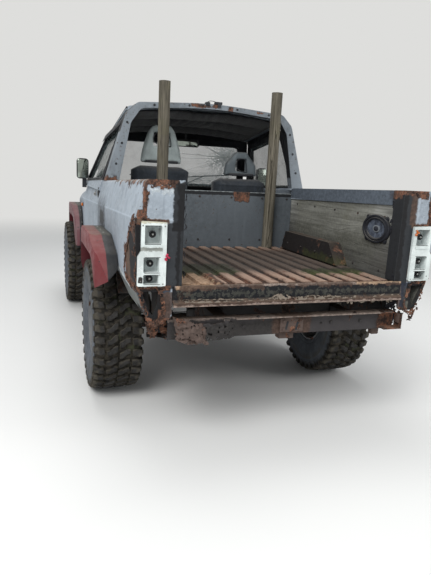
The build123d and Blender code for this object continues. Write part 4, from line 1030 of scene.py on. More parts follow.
def strip(bm, path, side, width, cells, rag=0.5, lift=0.004, holes=0.3, seed=0.0, onto=None, aim=None):
    """Torn, buckled band of sheet metal along a path, thrown onto a surface where it meets one. side is the way across
    it, rag how ragged its edges are, holes how much of it is eaten away."""
    line = [Vector(point) for point in path]
    reach = [0.0]
    for a, b in zip(line, line[1:]):
        reach.append(reach[-1] + (b - a).length)
    side, aim = Vector(side).normalized(), Vector(aim or (0, 0, 0))
    drift = Vector((seed * 1.3, seed * 0.7, seed))
    made = grid(bm, cells[0], cells[1])
    lost = []
    for v in made:
        far, across = (v.co.x + 0.5) * reach[-1], 2 * v.co.y
        leg = next(i for i in range(len(line) - 1) if far <= reach[i + 1] + 1e-5)
        spot = line[leg].lerp(line[leg + 1], (far - reach[leg]) / (reach[leg + 1] - reach[leg]))
        spot = spot + side * (across * width / 2 + width * 0.35 * rag * noise.fractal(spot * 14 + drift, 0.7, 2.0, 4))
        edge = abs(across) + rag * 0.9 * noise.fractal(spot * 42 + drift, 0.6, 2.0, 5)
        if edge > 0.92 or noise.fractal(spot * 60 - drift, 0.5, 2.0, 4) > 0.72 - holes:
            lost.append(v)
            continue
        buckle = lift * (0.6 + 1.1 * noise.fractal(spot * 26 + drift, 0.8, 2.0, 4))
        hit = onto.ray_cast(spot - aim * 0.12, aim, 0.2)[0] if onto else None
        if hit is not None:
            v.co = hit - aim * max(0.0006, buckle)
        else:
            way = aim if onto else side.cross(line[leg + 1] - line[leg]).normalized()
            v.co = spot - way * buckle
        v.co.x = max(v.co.x, REAR_LIMIT)
    bmesh.ops.delete(bm, geom=lost, context="VERTS")
    left = {face for v in made if v.is_valid for face in v.link_faces}
    while left:
        island = [left.pop()]
        for face in island:
            near = {other for edge in face.edges for other in edge.link_faces} & left
            island += near
            left -= near
        if len(island) < 16:
            bmesh.ops.delete(bm, geom=island, context="FACES")
    loose = [v for v in bm.verts if not v.link_faces]
    bmesh.ops.delete(bm, geom=loose, context="VERTS")


# Operators: one for each piece or group of like pieces, and one for the stage

class PICKUP_OT_stage(bpy.types.Operator):
    """Pale floor and backdrop, soft lamps and the camera"""
    bl_idname = "pickup.stage"
    bl_label = "Stage"

    def execute(self, context):
        size = settings("stage")
        scene = context.scene
        scene.view_settings.view_transform = "Standard"
        pale = linear(size.floor)

        world = bpy.data.worlds.new("Surroundings")
        world.use_nodes = True
        world.node_tree.nodes.clear()
        n = Nodes(world.node_tree)
        light = n.add("Background", (0.94, 0.97, 1.0), size.sky).outputs[0]
        seen = n.add("Background", pale, 1.0).outputs[0]
        ray = n.add("LightPath").outputs
        shown = n.most(ray["Is Camera Ray"], n.most(ray["Is Glossy Ray"], ray["Is Transmission Ray"]))
        mixed = n.add("MixShader", shown, light, seen).outputs[0]
        n.put(n.add("OutputWorld").inputs["Surface"], mixed)
        scene.world = world

        ground = bpy.data.materials.new("Floor")
        ground.use_nodes = True
        ground.node_tree.nodes.clear()
        n = Nodes(ground.node_tree)
        shader = n.add("BsdfPrincipled", pale)
        n.put(shader.inputs["Roughness"], 0.85)
        n.put(shader.inputs["Specular IOR Level"], 0.15)
        glow = n.add("Emission", pale, 1.0).outputs[0]
        ray = n.add("LightPath").outputs
        away = n.add("VectorMath", n.add("TexCoord").outputs["Object"], operation="LENGTH").outputs["Value"]
        far = n.times(n.smooth(away, 5.0, 11.0),
                     n.most(ray["Is Camera Ray"], n.most(ray["Is Glossy Ray"], ray["Is Transmission Ray"])))
        mixed = n.add("MixShader", far, shader.outputs[0], glow).outputs[0]
        n.put(n.add("OutputMaterial").inputs["Surface"], mixed)
        bm = bmesh.new()
        bmesh.ops.create_circle(bm, cap_ends=True, cap_tris=True, segments=64, radius=40.0)
        mesh = bpy.data.meshes.new("floor")
        bm.to_mesh(mesh)
        bm.free()
        floor = bpy.data.objects.new("floor", mesh)
        scene.collection.objects.link(floor)
        mesh.materials.append(ground)

        for name, place, aim, power, width in (
                ("main lamp", (-5.2, 3.6, 5.6), (-0.6, 0.0, 0.9), size.key, 3.4),
                ("fill lamp", (-4.6, -5.4, 3.6), (-0.4, 0.0, 0.8), size.key * 0.42, 3.2),
                ("top lamp", (0.6, 0.4, 6.4), (0.0, 0.0, 0.9), size.key * 0.45, 4.0)):
            lamp = bpy.data.lights.new(name, "AREA")
            lamp.energy = power
            lamp.size = width
            holder = bpy.data.objects.new(name, lamp)
            scene.collection.objects.link(holder)
            holder.location = place
            holder.rotation_euler = (Vector(aim) - Vector(place)).to_track_quat("-Z", "Y").to_euler()

        yaw, pitch, roll = (math.radians(v) for v in (-19.279, 12.2828, 2.9256))
        ahead = Vector((math.cos(yaw) * math.cos(pitch), math.sin(yaw) * math.cos(pitch), -math.sin(pitch)))
        right = Vector((math.sin(yaw), -math.cos(yaw), 0.0))
        up = right.cross(ahead)
        side = right * math.cos(roll) + up * math.sin(roll)
        top = up * math.cos(roll) - right * math.sin(roll)
        camera = bpy.data.objects.new("camera", bpy.data.cameras.new("camera"))
        camera.data.lens = 32.914
        camera.data.sensor_width = 36.0
        camera.data.clip_end = 200.0
        place = Matrix((side, top, -ahead)).transposed().to_4x4()
        place.translation = (-4.33986, 1.22657, 1.39157)
        camera.matrix_world = place
        scene.collection.objects.link(camera)
        scene.camera = camera
        return {"FINISHED"}


class PICKUP_OT_panels(bpy.types.Operator):
    """Finishes of the panels, frame and glass that keep their own shape"""
    bl_idname = "pickup.panels"
    bl_label = "Panels and Frame"

    def execute(self, context):
        for node, look in NODE_FINISH.items():
            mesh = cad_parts[node].data
            mesh.materials.clear()
            mesh.materials.append(finish(look))
        return {"FINISHED"}


class PICKUP_OT_tyres(bpy.types.Operator):
    """Four tyres with rows of lugs, side lugs and rings on the sidewall"""
    bl_idname = "pickup.tyres"
    bl_label = "Tyres"

    HALF = ((0.112, 0.191), (0.121, 0.194), (0.126, 0.205), (0.1255, 0.214), (0.131, 0.222), (0.1365, 0.240),
            (0.1400, 0.262),
            (0.1412, 0.268), (0.1412, 0.273), (0.1420, 0.290), (0.1425, 0.318), (0.1432, 0.322), (0.1432, 0.327),
            (0.1418, 0.331),
            (0.1400, 0.350), (0.1360, 0.368), (0.1280, 0.382), (0.115, 0.3905), (0.085, 0.3930), (0.045, 0.3940))
    INNER = ((0.106, 0.196), (0.125, 0.280), (0.118, 0.362), (0.080, 0.384))
    # Footprints of the lugs of one row, as (across, along the tread)
    LUGS = (((0.078, -0.027), (0.104, -0.030), (0.139, -0.019), (0.140, 0.013), (0.120, 0.021), (0.104, 0.012),
             (0.082, 0.010)),
            ((0.004, -0.010), (0.020, -0.018), (0.044, -0.034), (0.068, -0.034), (0.072, -0.010), (0.050, -0.006),
             (0.034, 0.010),
             (0.018, 0.024), (0.003, 0.022)))

    def lug(self, bm, outline, low, high, taper):
        """One lug, from the floor of the groove to its worn top."""
        around = sum((Vector(p) for p in outline), Vector((0, 0))) / len(outline)
        face = bm.faces.new([bm.verts.new((s, y, low)) for y, s in outline])
        made = bmesh.ops.extrude_face_region(bm, geom=[face])["geom"]
        top = verts_of(made)
        for v in top:
            v.co.z = high - 0.10 * max(0.0, abs(v.co.y) - 0.09) - 0.02 * abs(v.co.y)
            v.co.x = around.y + (v.co.x - around.y) * taper
            v.co.y = around.x + (v.co.y - around.x) * taper
        edges = list({e for v in top for e in v.link_edges if all(w in top for w in e.verts)})
        rounded(bm, edges, 0.0022, 1)

    def execute(self, context):
        tyre = settings("tyre")
        pitch = 2 * math.pi / tyre.lugs
        chance = random.Random(5)
        base = bmesh.new()
        for outline in self.LUGS:
            self.lug(base, outline, 0.386, 0.3945 + tyre.depth, 0.90)
        block(base, (-0.019, 0.124, 0.352), (0.013, 0.1448, 0.400), 0.004, 1)
        mirrored = bmesh.ops.duplicate(base, geom=base.verts[:] + base.edges[:] + base.faces[:])["geom"]
        half = verts_of(mirrored)
        bmesh.ops.scale(base, verts=half, vec=(-1, -1, 1))
        bmesh.ops.rotate(base, verts=half, cent=(0, 0, 0), matrix=Matrix.Rotation(pitch / 2, 3, "Y"))
        bmesh.ops.recalc_face_normals(base, faces=base.faces)
        row = bpy.data.meshes.new("row")
        base.to_mesh(row)
        base.free()
        for place, axle in WHEELS:
            for side, s in SIDES:
                bm = bmesh.new()
                for i in range(tyre.lugs):
                    first = len(bm.verts)
                    bm.from_mesh(row)
                    bm.verts.ensure_lookup_table()
                    new = bm.verts[first:]
                    bmesh.ops.scale(bm, verts=new, vec=(1, s, 1))
                    bmesh.ops.rotate(bm, verts=new, cent=(0, 0, 0),
                                     matrix=Matrix.Rotation(i * pitch + chance.uniform(-0.004, 0.004), 3, "Y"))
                outline = list(self.HALF) + [(-y, r) for y, r in reversed(self.HALF)]
                outline += [(-y, r) for y, r in self.INNER] + [(y, r) for y, r in reversed(self.INNER)]
                turned(bm, outline + [outline[0]], (0, 0, 0), (0, 1, 0), (0, 0, 1), 96)
                bmesh.ops.remove_doubles(bm, verts=bm.verts, dist=0.0002)
                rise, flank = [], []
                for v in bm.verts:
                    radius = math.hypot(v.co.x, v.co.z)
                    rise.append(min(1.0, max(0.0, (radius - 0.3925) / 0.018)) if abs(v.co.y) < 0.139
                                else min(1.0, max(0.0, (abs(v.co.y) - 0.141) / 0.0035)))
                    flank.append(min(1.0, max(0.0, (0.388 - radius) / 0.045)))
                bmesh.ops.translate(bm, verts=bm.verts, vec=(axle, s * WHEEL_Y, AXLE_Z))
                made = add_piece(f"tyre_tread_{place}_{side}", bm, "tyre", f"wheel_{place}_{side}", angle=30,
                                 replaces=(f"tyre_{place}_{side}",))
                for label, values in (("rise", rise), ("side", flank)):
                    made.data.attributes.new(label, "FLOAT", "POINT").data.foreach_set("value", values)
        bpy.data.meshes.remove(row)
        return {"FINISHED"}


class PICKUP_OT_wheel_fittings(bpy.types.Operator):
    """Hub covers, wheel nuts and valves"""
    bl_idname = "pickup.wheel_fittings"
    bl_label = "Wheel Fittings"

    def execute(self, context):
        for place, axle in WHEELS:
            for side, s in SIDES:
                bm = bmesh.new()
                hub = Vector((axle, s * (WHEEL_Y + 0.046), AXLE_Z))
                out = Vector((0, s, 0))
                turned(bm, ((-0.002, 0.041), (0.030, 0.040), (0.044, 0.034), (0.050, 0.022), (0.051, 0.0)), hub, out,
                       (0, 0, 1), 32)
                for i in range(6):
                    turn = i * math.pi / 3 + 0.3
                    spot = hub + Vector((math.cos(turn), 0, math.sin(turn))) * 0.053
                    rod(bm, spot - out * 0.002, spot + out * 0.013, 0.0105, 0.0098, 6)
                    rod(bm, spot, spot + out * 0.021, 0.006, 0.005, 10)
                spot = hub + Vector((0.10, 0, 0.13)) - out * 0.02
                rod(bm, spot, spot + out * 0.034, 0.005, 0.004, 10)
                add_piece(f"hub_and_nuts_{place}_{side}", bm, "bright steel", f"wheel_{place}_{side}")
        return {"FINISHED"}


def plump(made, pressure, cap, voxel=0.007):
    """Swells a closed form as stuffed cloth does, with a cap on how far a point may move."""
    scene = bpy.context.scene
    remesh = made.modifiers.new("Remesh", "REMESH")
    remesh.mode = "VOXEL"
    remesh.voxel_size = voxel
    bake_mesh(made)
    rest = [v.co.copy() for v in made.data.vertices]
    swell = made.modifiers.new("Cloth", "CLOTH")
    swell.settings.use_pressure = True
    swell.settings.uniform_pressure_force = pressure
    swell.settings.effector_weights.gravity = 0.0
    swell.settings.quality = 5
    swell.point_cache.frame_start, swell.point_cache.frame_end = 1, 20
    for step in range(1, 21):
        scene.frame_set(step)
    bake_mesh(made)
    for v, start in zip(made.data.vertices, rest):
        moved = v.co - start
        if moved.length > cap:
            v.co = start + moved * (cap / moved.length)
    scene.frame_set(1)


def bake_mesh(made):
    """Applies the modifiers."""
    graph = bpy.context.evaluated_depsgraph_get()
    mesh = bpy.data.meshes.new_from_object(made.evaluated_get(graph))
    old = made.data
    made.modifiers.clear()
    made.data = mesh
    bpy.data.meshes.remove(old)
    mesh.polygons.foreach_set("use_smooth", [True] * len(mesh.polygons))


def pressed(made, channels, deep, wide):
    """Presses sewn channels into a padded piece. Each row gives a point on the channel's plane, the plane's normal,
    and the side that it is pressed from."""
    for v in made.data.vertices:
        sink = Vector()
        for point, normal, side in channels:
            off = (v.co - Vector(point)).dot(Vector(normal))
            if abs(off) < 3 * wide:
                sink -= Vector(side) * deep * math.exp(-(off / wide) ** 2)
        v.co += sink


class PICKUP_OT_seats(bpy.types.Operator):
    """Two seats: swollen cushions and backs with side bolsters and sewn channels"""
    bl_idname = "pickup.seats"
    bl_label = "Seats"

    def shape(self, outline, y0, y1):
        """Block of this (x, z) outline with rounded edges."""
        bm = bmesh.new()
        place = Matrix(((1, 0, 0, 0), (0, 0, 1, y0), (0, 1, 0, 0), (0, 0, 0, 1)))
        plate(bm, outline, y1 - y0, place)
        rounded(bm, bm.edges[:], 0.030, 3)
        return bm

    def execute(self, context):
        cushions, backs = [], []
        for side, s, top in (("left", 1, 1.440), ("right", -1, 1.375)):
            y0, y1 = s * SEAT_Y - 0.226, s * SEAT_Y + 0.226
            low, high = 0.748, 0.880
            bm = self.shape(((-0.322, low), (0.165, low), (0.172, 0.800), (0.150, high), (-0.322, high - 0.012)),
                            y0, y1)
            made = add_piece(f"seat_cushion_{side}", bm, "seat cloth")
            plump(made, 4.0, 0.010)
            middle = s * SEAT_Y
            pressed(made, [((0, middle + 0.14, 0), (0, 1, 0), (0, 0, 1)), ((0, middle - 0.14, 0), (0, 1, 0), (0, 0, 1))]
                    + [((x, 0, 0), (1, 0, 0), (0, 0, 1)) for x in (-0.20, -0.08, 0.04)], 0.006, 0.007)
            cushions.append(made)
            back = ((-0.336, 0.896), (-0.212, 0.896), (-0.302, top - 0.012), (-0.392, top - 0.012))
            bm = self.shape(back, y0, y1)
            for corner in (y0, y1):
                inward = 1 if corner == y0 else -1
                bmesh.ops.bisect_plane(bm, geom=bm.verts[:] + bm.edges[:] + bm.faces[:], dist=0.0001,
                                       plane_co=(0, corner + inward * 0.070, top - 0.012),
                                       plane_no=(0, -inward * 0.45, 0.9), clear_outer=True)
                edges = [e for e in bm.edges if e.is_boundary]
                bmesh.ops.holes_fill(bm, edges=edges, sides=0)
            made = add_piece(f"seat_back_{side}", bm, "seat cloth")
            plump(made, 4.0, 0.010)
            lean = Vector((0.168, 0, 0.984))
            pressed(made, [((0, middle + 0.14, 0), (0, 1, 0), (1, 0, 0.15)), ((0, middle - 0.14, 0), (0, 1, 0),
                                                                              (1, 0, 0.15))]
                    + [((-0.25, 0, z), lean, (1, 0, 0)) for z in (1.02, 1.15, 1.28)], 0.004, 0.007)
            backs.append(made)
        for pair, node in ((cushions, "seat_cushions"), (backs, "seat_backs")):
            for made in pair:
                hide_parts(node)
        return {"FINISHED"}


class PICKUP_OT_restraints(bpy.types.Operator):
    """Head restraints: rounded arches round an opening, with a dark inner lip"""
    bl_idname = "pickup.restraints"
    bl_label = "Head Restraints"

    def execute(self, context):
        for side, s, low, top, foot, crown, look in (("left", 1, 1.440, 1.715, 0.155, 0.085, "grey vinyl"),
                                                     ("right", -1, 1.375, 1.560, 0.135, 0.062, "dark vinyl")):
            middle = s * SEAT_Y
            hole = ((-foot + 0.088, top - 0.150), (foot - 0.088, top - 0.150), (crown - 0.020, top - 0.050),
                    (-crown + 0.020, top - 0.050))
            outer = ((-foot, low + 0.004), (foot, low + 0.004), (foot - 0.012, low + 0.09), (crown + 0.012, top - 0.04),
                     (crown - 0.020, top), (-crown + 0.020, top), (-crown - 0.012, top - 0.04),
                     (-foot + 0.012, low + 0.09))
            bm = bmesh.new()
            place = Matrix(((0, 0, 1, -0.386), (1, 0, 0, middle), (0, 1, 0, 0), (0, 0, 0, 1)))
            plate(bm, outer, 0.052, place)
            rounded(bm, bm.edges[:], 0.014, 3)
            made = add_piece(f"head_restraint_{side}", bm, look, "body", "restraint_vinyl")
            cut = bmesh.new()
            place.translation.x = -0.45
            plate(cut, hole, 0.20, place, 0.012)
            mesh = bpy.data.meshes.new("opening")
            bmesh.ops.recalc_face_normals(cut, faces=cut.faces)
            cut.to_mesh(mesh)
            cut.free()
            cutter = bpy.data.objects.new("opening", mesh)
            context.scene.collection.objects.link(cutter)
            opening = made.modifiers.new("Opening", "BOOLEAN")
            opening.operation = "DIFFERENCE"
            opening.object = cutter
            bake_mesh(made)
            bpy.data.objects.remove(cutter)
            plump(made, 2.5, 0.004, 0.004)
            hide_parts("head_restraints")
            bm = bmesh.new()
            ring = [(-0.389, middle + y, z) for y, z in hole]
            tube(bm, ring + [ring[0]], 0.003, 8)
            block(bm, (-0.394, middle - foot + 0.03, low + 0.002), (-0.345, middle + foot - 0.03, low + 0.022), 0.006)
            add_piece(f"restraint_trim_{side}", bm, "black trim")
        return {"FINISHED"}


class PICKUP_OT_posts(bpy.types.Operator):
    """Two round posts with long drying cracks"""
    bl_idname = "pickup.posts"
    bl_label = "Wooden Posts"

    def execute(self, context):
        bm = bmesh.new()
        low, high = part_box("wooden_posts")
        for s in (1, -1):
            centre = Vector((-0.780, s * 0.404, 0))
            ring = bmesh.ops.create_circle(bm, cap_ends=True, cap_tris=False, segments=72, radius=0.038,
                                           matrix=Matrix.Translation(centre + Vector((0, 0, low.z))))["verts"]
            last = [f for f in bm.faces if all(v in ring for v in f.verts)]
            verts, steps = list(ring), 90
            for i in range(steps):
                made = bmesh.ops.extrude_face_region(bm, geom=last)["geom"]
                new = verts_of(made)
                if i:
                    bmesh.ops.delete(bm, geom=last, context="FACES_ONLY")
                last = [f for f in made if isinstance(f, bmesh.types.BMFace)]
                bmesh.ops.translate(bm, verts=new, vec=(0, 0, (high.z - low.z) / steps))
                verts += new
            chance = random.Random(3 + s)
            cracks = [(chance.uniform(0, 2 * math.pi), chance.uniform(low.z, high.z), chance.uniform(0.25, 0.6),
                       chance.uniform(0.003, 0.008)) for k in range(16)]
            for v in verts:
                off = v.co - centre
                turn = math.atan2(off.y, off.x)
                deep = 0.0
                for at, z, reach, depth in cracks:
                    bent = at + 0.10 * noise.noise(Vector((z * 9, v.co.z * 5, at)))
                    near = abs((turn - bent + math.pi) % (2 * math.pi) - math.pi)
                    along = max(0.0, 1 - abs(v.co.z - z) / reach)
                    deep = max(deep, depth * along ** 0.5 * max(0.0, 1 - near / 0.075))
                rough = 0.0012 * noise.fractal(Vector((turn * 6, v.co.z * 7, s)), 0.7, 2.0, 4)
                sway = Vector((math.sin(v.co.z * 2.3 + s), math.cos(v.co.z * 1.7), 0)) * 0.002
                flat = Vector((off.x, off.y, 0))
                v.co -= flat.normalized() * (deep + abs(rough)) - sway * 0.3
        add_piece("posts", bm, "post wood", angle=50, replaces=("wooden_posts",))
        return {"FINISHED"}


class PICKUP_OT_lining(bpy.types.Operator):
    """Black cloth under the roof, sagging in folds between its bows"""
    bl_idname = "pickup.lining"
    bl_label = "Roof Lining"

    def execute(self, context):
        bm = bmesh.new()
        front, rear, wide = 0.200, -0.505, 1.10
        made = bmesh.ops.create_grid(bm, x_segments=70, y_segments=100, size=0.5,
                                     matrix=Matrix.Translation(((front + rear) / 2, 0,
                                                                0)) @ Matrix.Diagonal((front - rear, wide, 1, 1)))
        roof = surface("roof_panel")
        for v in made["verts"]:
            hit, normal, index, distance = roof.ray_cast((v.co.x, v.co.y, 1.2), (0, 0, 1))
            top = hit.z if hit else 1.70
            a = (v.co.x - rear) / (front - rear)
            b = abs(v.co.y) / (wide / 2)
            hang = 0.022 * abs(math.sin(a * math.pi * 3)) ** 0.7 * (1 - b ** 4)
            folds = 0.006 * math.sin(v.co.y * 38 + 4 * noise.noise(Vector((v.co.x * 4, v.co.y * 3, 0)))) * (1 - b ** 2)
            pull = 0.016 * math.exp(-((v.co.y - 0.05) ** 2 + (v.co.x + 0.45) ** 2) / 0.02)
            v.co.z = top - 0.006 - hang - abs(folds) - pull
        lining = add_piece("roof_lining", bm, "roof lining", angle=60)
        thick = lining.modifiers.new("Thickness", "SOLIDIFY")
        thick.thickness = 0.0016
        bake_mesh(lining)
        return {"FINISHED"}


class PICKUP_OT_cracks(bpy.types.Operator):
    """Cracks in the windscreen that run out from one blow"""
    bl_idname = "pickup.cracks"
    bl_label = "Windscreen Cracks"

    def ribbon(self, bm, points, wide, normal):
        line = [bm.verts.new(p) for p in points]
        edges = [bm.edges.new(pair) for pair in zip(line, line[1:])]
        made = bmesh.ops.extrude_edge_only(bm, edges=edges)["geom"]
        across = (points[-1] - points[0]).cross(normal).normalized() * wide
        bmesh.ops.translate(bm, verts=verts_of(made), vec=across)

    def execute(self, context):
        foot, head = Vector(SCREEN_FOOT), Vector(SCREEN_HEAD)
        up = (head - foot).normalized()
        across = Vector((0, 1, 0))
        normal = across.cross(up)
        if normal.x > 0:
            normal = -normal
        start = Vector(BLOW) + normal * 0.0245
        chance = random.Random(11)
        bm = bmesh.new()
        tips = []
        for i in range(44):
            turn = i * 2 * math.pi / 44 + chance.uniform(-0.06, 0.06)
            reach = chance.uniform(0.10, 0.42) * (1.5 if math.cos(turn) > 0.3 else 1.0)
            points, way = [start + (across * math.cos(turn) + up * math.sin(turn)) * 0.012], turn
            for k in range(7):
                way += chance.uniform(-0.10, 0.10)
                points.append(points[-1] + (across * math.cos(way) + up * math.sin(way)) * reach / 7)
            kept = [p for p in points if abs(p.y) < 0.66 - 0.13 * ((p - foot).dot(up) / 0.6)
                    and 0.055 < (p - foot).dot(up) < 0.535]
            if len(kept) > 2:
                self.ribbon(bm, kept, chance.uniform(0.0018, 0.0040), normal)
        for radius in (0.03, 0.055, 0.10, 0.17):
            for i in range(34):
                if chance.random() < 0.45:
                    a, b = (k * 2 * math.pi / 34 for k in (i, i + 1))
                    pair = [start + (across * math.cos(t) + up * math.sin(t)) * radius * chance.uniform(0.93, 1.07)
                            for t in (a, b)]
                    self.ribbon(bm, pair, 0.0012, normal)
        add_piece("windscreen_cracks", bm, "crack")
        return {"FINISHED"}


class PICKUP_OT_crusts(bpy.types.Operator):
    """Torn and flaked rust on the corners of the quarter panels, with scraps that hang from them"""
    bl_idname = "pickup.crusts"
    bl_label = "Rust Crusts"

    # Strips on the left panel: points of the line, direction across, width, lift, share of holes
    SIDE = (
        (((-1.99, 1.180), (-1.924, 1.155), (-1.84, 1.080), (-1.765, 0.995), (-1.712, 0.915)), (0.75, 0, 0.65), 0.046,
         0.005, 0.3),
        (((-1.70, 0.905), (-1.75, 0.865), (-1.85, 0.845), (-1.95, 0.848), (-2.034, 0.858)), (0.2, 0, 1), 0.048, 0.006,
         0.3),
        (((-2.00, 1.10), (-1.94, 1.00), (-1.89, 0.90)), (1, 0, 0.2), 0.150, 0.003, 0.75),
        (((-2.030, 1.180), (-2.022, 1.040), (-2.030, 0.880)), (1, 0, 0), 0.026, 0.008, 0.4),
    )
    REAR = (
        (((0.756, 1.300), (0.768, 1.220), (0.783, 1.180)), (0, 1, 0.15), 0.019, 0.005, 0.3),
        (((0.672, 1.172), (0.788, 1.176)), (0, 0, 1), 0.012, 0.004, 0.4),
        (((0.634, 1.332), (0.744, 1.330)), (0, 0, 1), 0.036, 0.004, 0.3),
        (((0.692, 0.856), (0.680, 0.810), (0.672, 0.750), (0.690, 0.700)), (0, 1, 0), 0.024, 0.006, 0.4),
        (((0.668, 0.716), (0.709, 0.694), (0.758, 0.716)), (0, 0, 1), 0.036, 0.008, 0.2),
        (((0.788, 0.862), (0.772, 0.800), (0.752, 0.735)), (0, 1, 0), 0.024, 0.006, 0.4),
        (((0.700, 0.864), (0.790, 0.866)), (0, 0, 1), 0.020, 0.005, 0.4),
    )
    # Scraps that hang free: points and width
    HANGING = (
        (((-2.036, 0.742, 0.700), (-2.032, 0.736, 0.668), (-2.026, 0.727, 0.640)), 0.030),
        (((-2.000, 0.702, 0.716), (-1.990, 0.692, 0.660), (-1.984, 0.700, 0.606)), 0.044),
        (((-1.975, 0.648, 0.735), (-1.962, 0.655, 0.664), (-1.970, 0.628, 0.590)), 0.052),
        (((-1.960, 0.600, 0.700), (-1.952, 0.606, 0.640), (-1.946, 0.588, 0.582)), 0.036),
    )

    def execute(self, context):
        for side, s in SIDES:
            panel = surface(f"quarter_panel_{side}")
            bm = bmesh.new()
            shift = 0.0 if s > 0 else 40.0
            for line, across, wide, lift, holes in self.SIDE:
                path = [(x, s * 0.805, z) for x, z in line]
                strip(bm, path, across, wide, (90, 12), 0.55, lift, holes, shift, panel, (0, -s, 0))
                shift += 3.7
            for line, across, wide, lift, holes in self.REAR:
                path = [(TAIL - 0.003, s * y, z) for y, z in line]
                strip(bm, path, (across[0], s * across[1], across[2]), wide, (44, 10), 0.6, lift, holes, shift, panel,
                      (1, 0, 0))
                shift += 3.7
            for line, wide in self.HANGING if s > 0 else self.HANGING[:2]:
                path = [(x, s * y, z) for x, y, z in line]
                strip(bm, path, (0.2, 1, 0), wide, (30, 12), 0.5, 0.012, 0.15, shift)
                shift += 3.7
            add_piece(f"rust_crusts_{side}", bm, "crust", angle=45, wall=0.0016)
            bm = bmesh.new()
            for x, low, high, wide in ((-1.962, 0.90, 1.31, 0.034), (-2.022, 0.88, 1.33, 0.022)):
                path = [(x, s * 0.586, high), (x - 0.010, s * 0.583, (low + high) / 2), (x, s * 0.586, low)]
                strip(bm, path, (1, 0, 0), wide, (110, 9), 0.9, 0.010, 0.6, shift + x)
            add_piece(f"torn_pillar_skin_{side}", bm, "torn skin", angle=45, wall=0.0014)
        return {"FINISHED"}


class PICKUP_OT_sill_lip(bpy.types.Operator):
    """Torn and buckled lip under the sill, and the crumpled remains of the bumper bracket"""
    bl_idname = "pickup.sill_lip"
    bl_label = "Sill Lip"

    # Points of the line, direction across, width, lift, share of holes
    LIP = (
        (((-2.055, 0.62, 0.790), (-2.057, 0.50, 0.792), (-2.058, 0.33, 0.788), (-2.056, 0.20, 0.784),
          (-2.050, 0.12, 0.792)),
         (0, 0, 1), 0.024, 0.006, 0.3),
        (((-2.046, 0.60, 0.806), (-2.050, 0.40, 0.803), (-2.048, 0.20, 0.800)), (1, 0, 0.1), 0.022, 0.004, 0.4),
        (((-2.046, 0.145, 0.784), (-2.056, 0.11, 0.802), (-2.052, 0.075, 0.812)), (0.3, 0, 1), 0.034, 0.008, 0.3),
        (((-2.050, 0.09, 0.806), (-2.058, 0.0, 0.794), (-2.058, -0.15, 0.790), (-2.056, -0.30, 0.788),
          (-2.052, -0.48, 0.786),
          (-2.044, -0.62, 0.792)), (0.2, 0, 1), 0.030, 0.007, 0.35),
        (((-2.046, 0.06, 0.800), (-2.050, -0.10, 0.806), (-2.048, -0.26, 0.800)), (1, 0, 0.2), 0.026, 0.005, 0.5),
        (((-2.050, -0.30, 0.768), (-2.050, -0.44, 0.774), (-2.046, -0.58, 0.770)), (0.2, 0, 1), 0.020, 0.008, 0.6),
    )

    def execute(self, context):
        bm = bmesh.new()
        for k, (line, across, wide, lift, holes) in enumerate(self.LIP):
            strip(bm, line, across, wide, (150, 8), 0.6, lift, holes, 11 + 5.3 * k)
        add_piece("torn_sill_lip", bm, "torn lip", angle=45, wall=0.0016)
        bm = bmesh.new()
        strip(bm, ((-2.004, 0.30, 0.638), (-2.030, 0.345, 0.638), (-2.024, 0.45, 0.636), (-2.006, 0.53, 0.638)),
              (0, 0, 1), 0.094,
              (60, 22), 0.12, 0.006, 0.0, 91)
        add_piece("bracket_remains", bm, "cross-member", "body", "rusty_steel", 45, ("bumper_bracket",), 0.004)
        bm = bmesh.new()
        strip(bm, ((-2.006, 0.604, 0.672), (-2.034, 0.560, 0.664), (-2.040, 0.500, 0.640), (-2.012, 0.452, 0.620)),
              (0, 0.25, 1), 0.120, (60, 40), 0.14, 0.012, 0.0, 97)
        strip(bm, ((-2.000, 0.600, 0.612), (-2.028, 0.550, 0.596), (-2.010, 0.490, 0.590)), (0.5, 0.1, 1), 0.040,
              (44, 14), 0.3, 0.008, 0.1, 101)
        add_piece("mangled_bracket", bm, "torn brown", angle=45, wall=0.003)
        return {"FINISHED"}


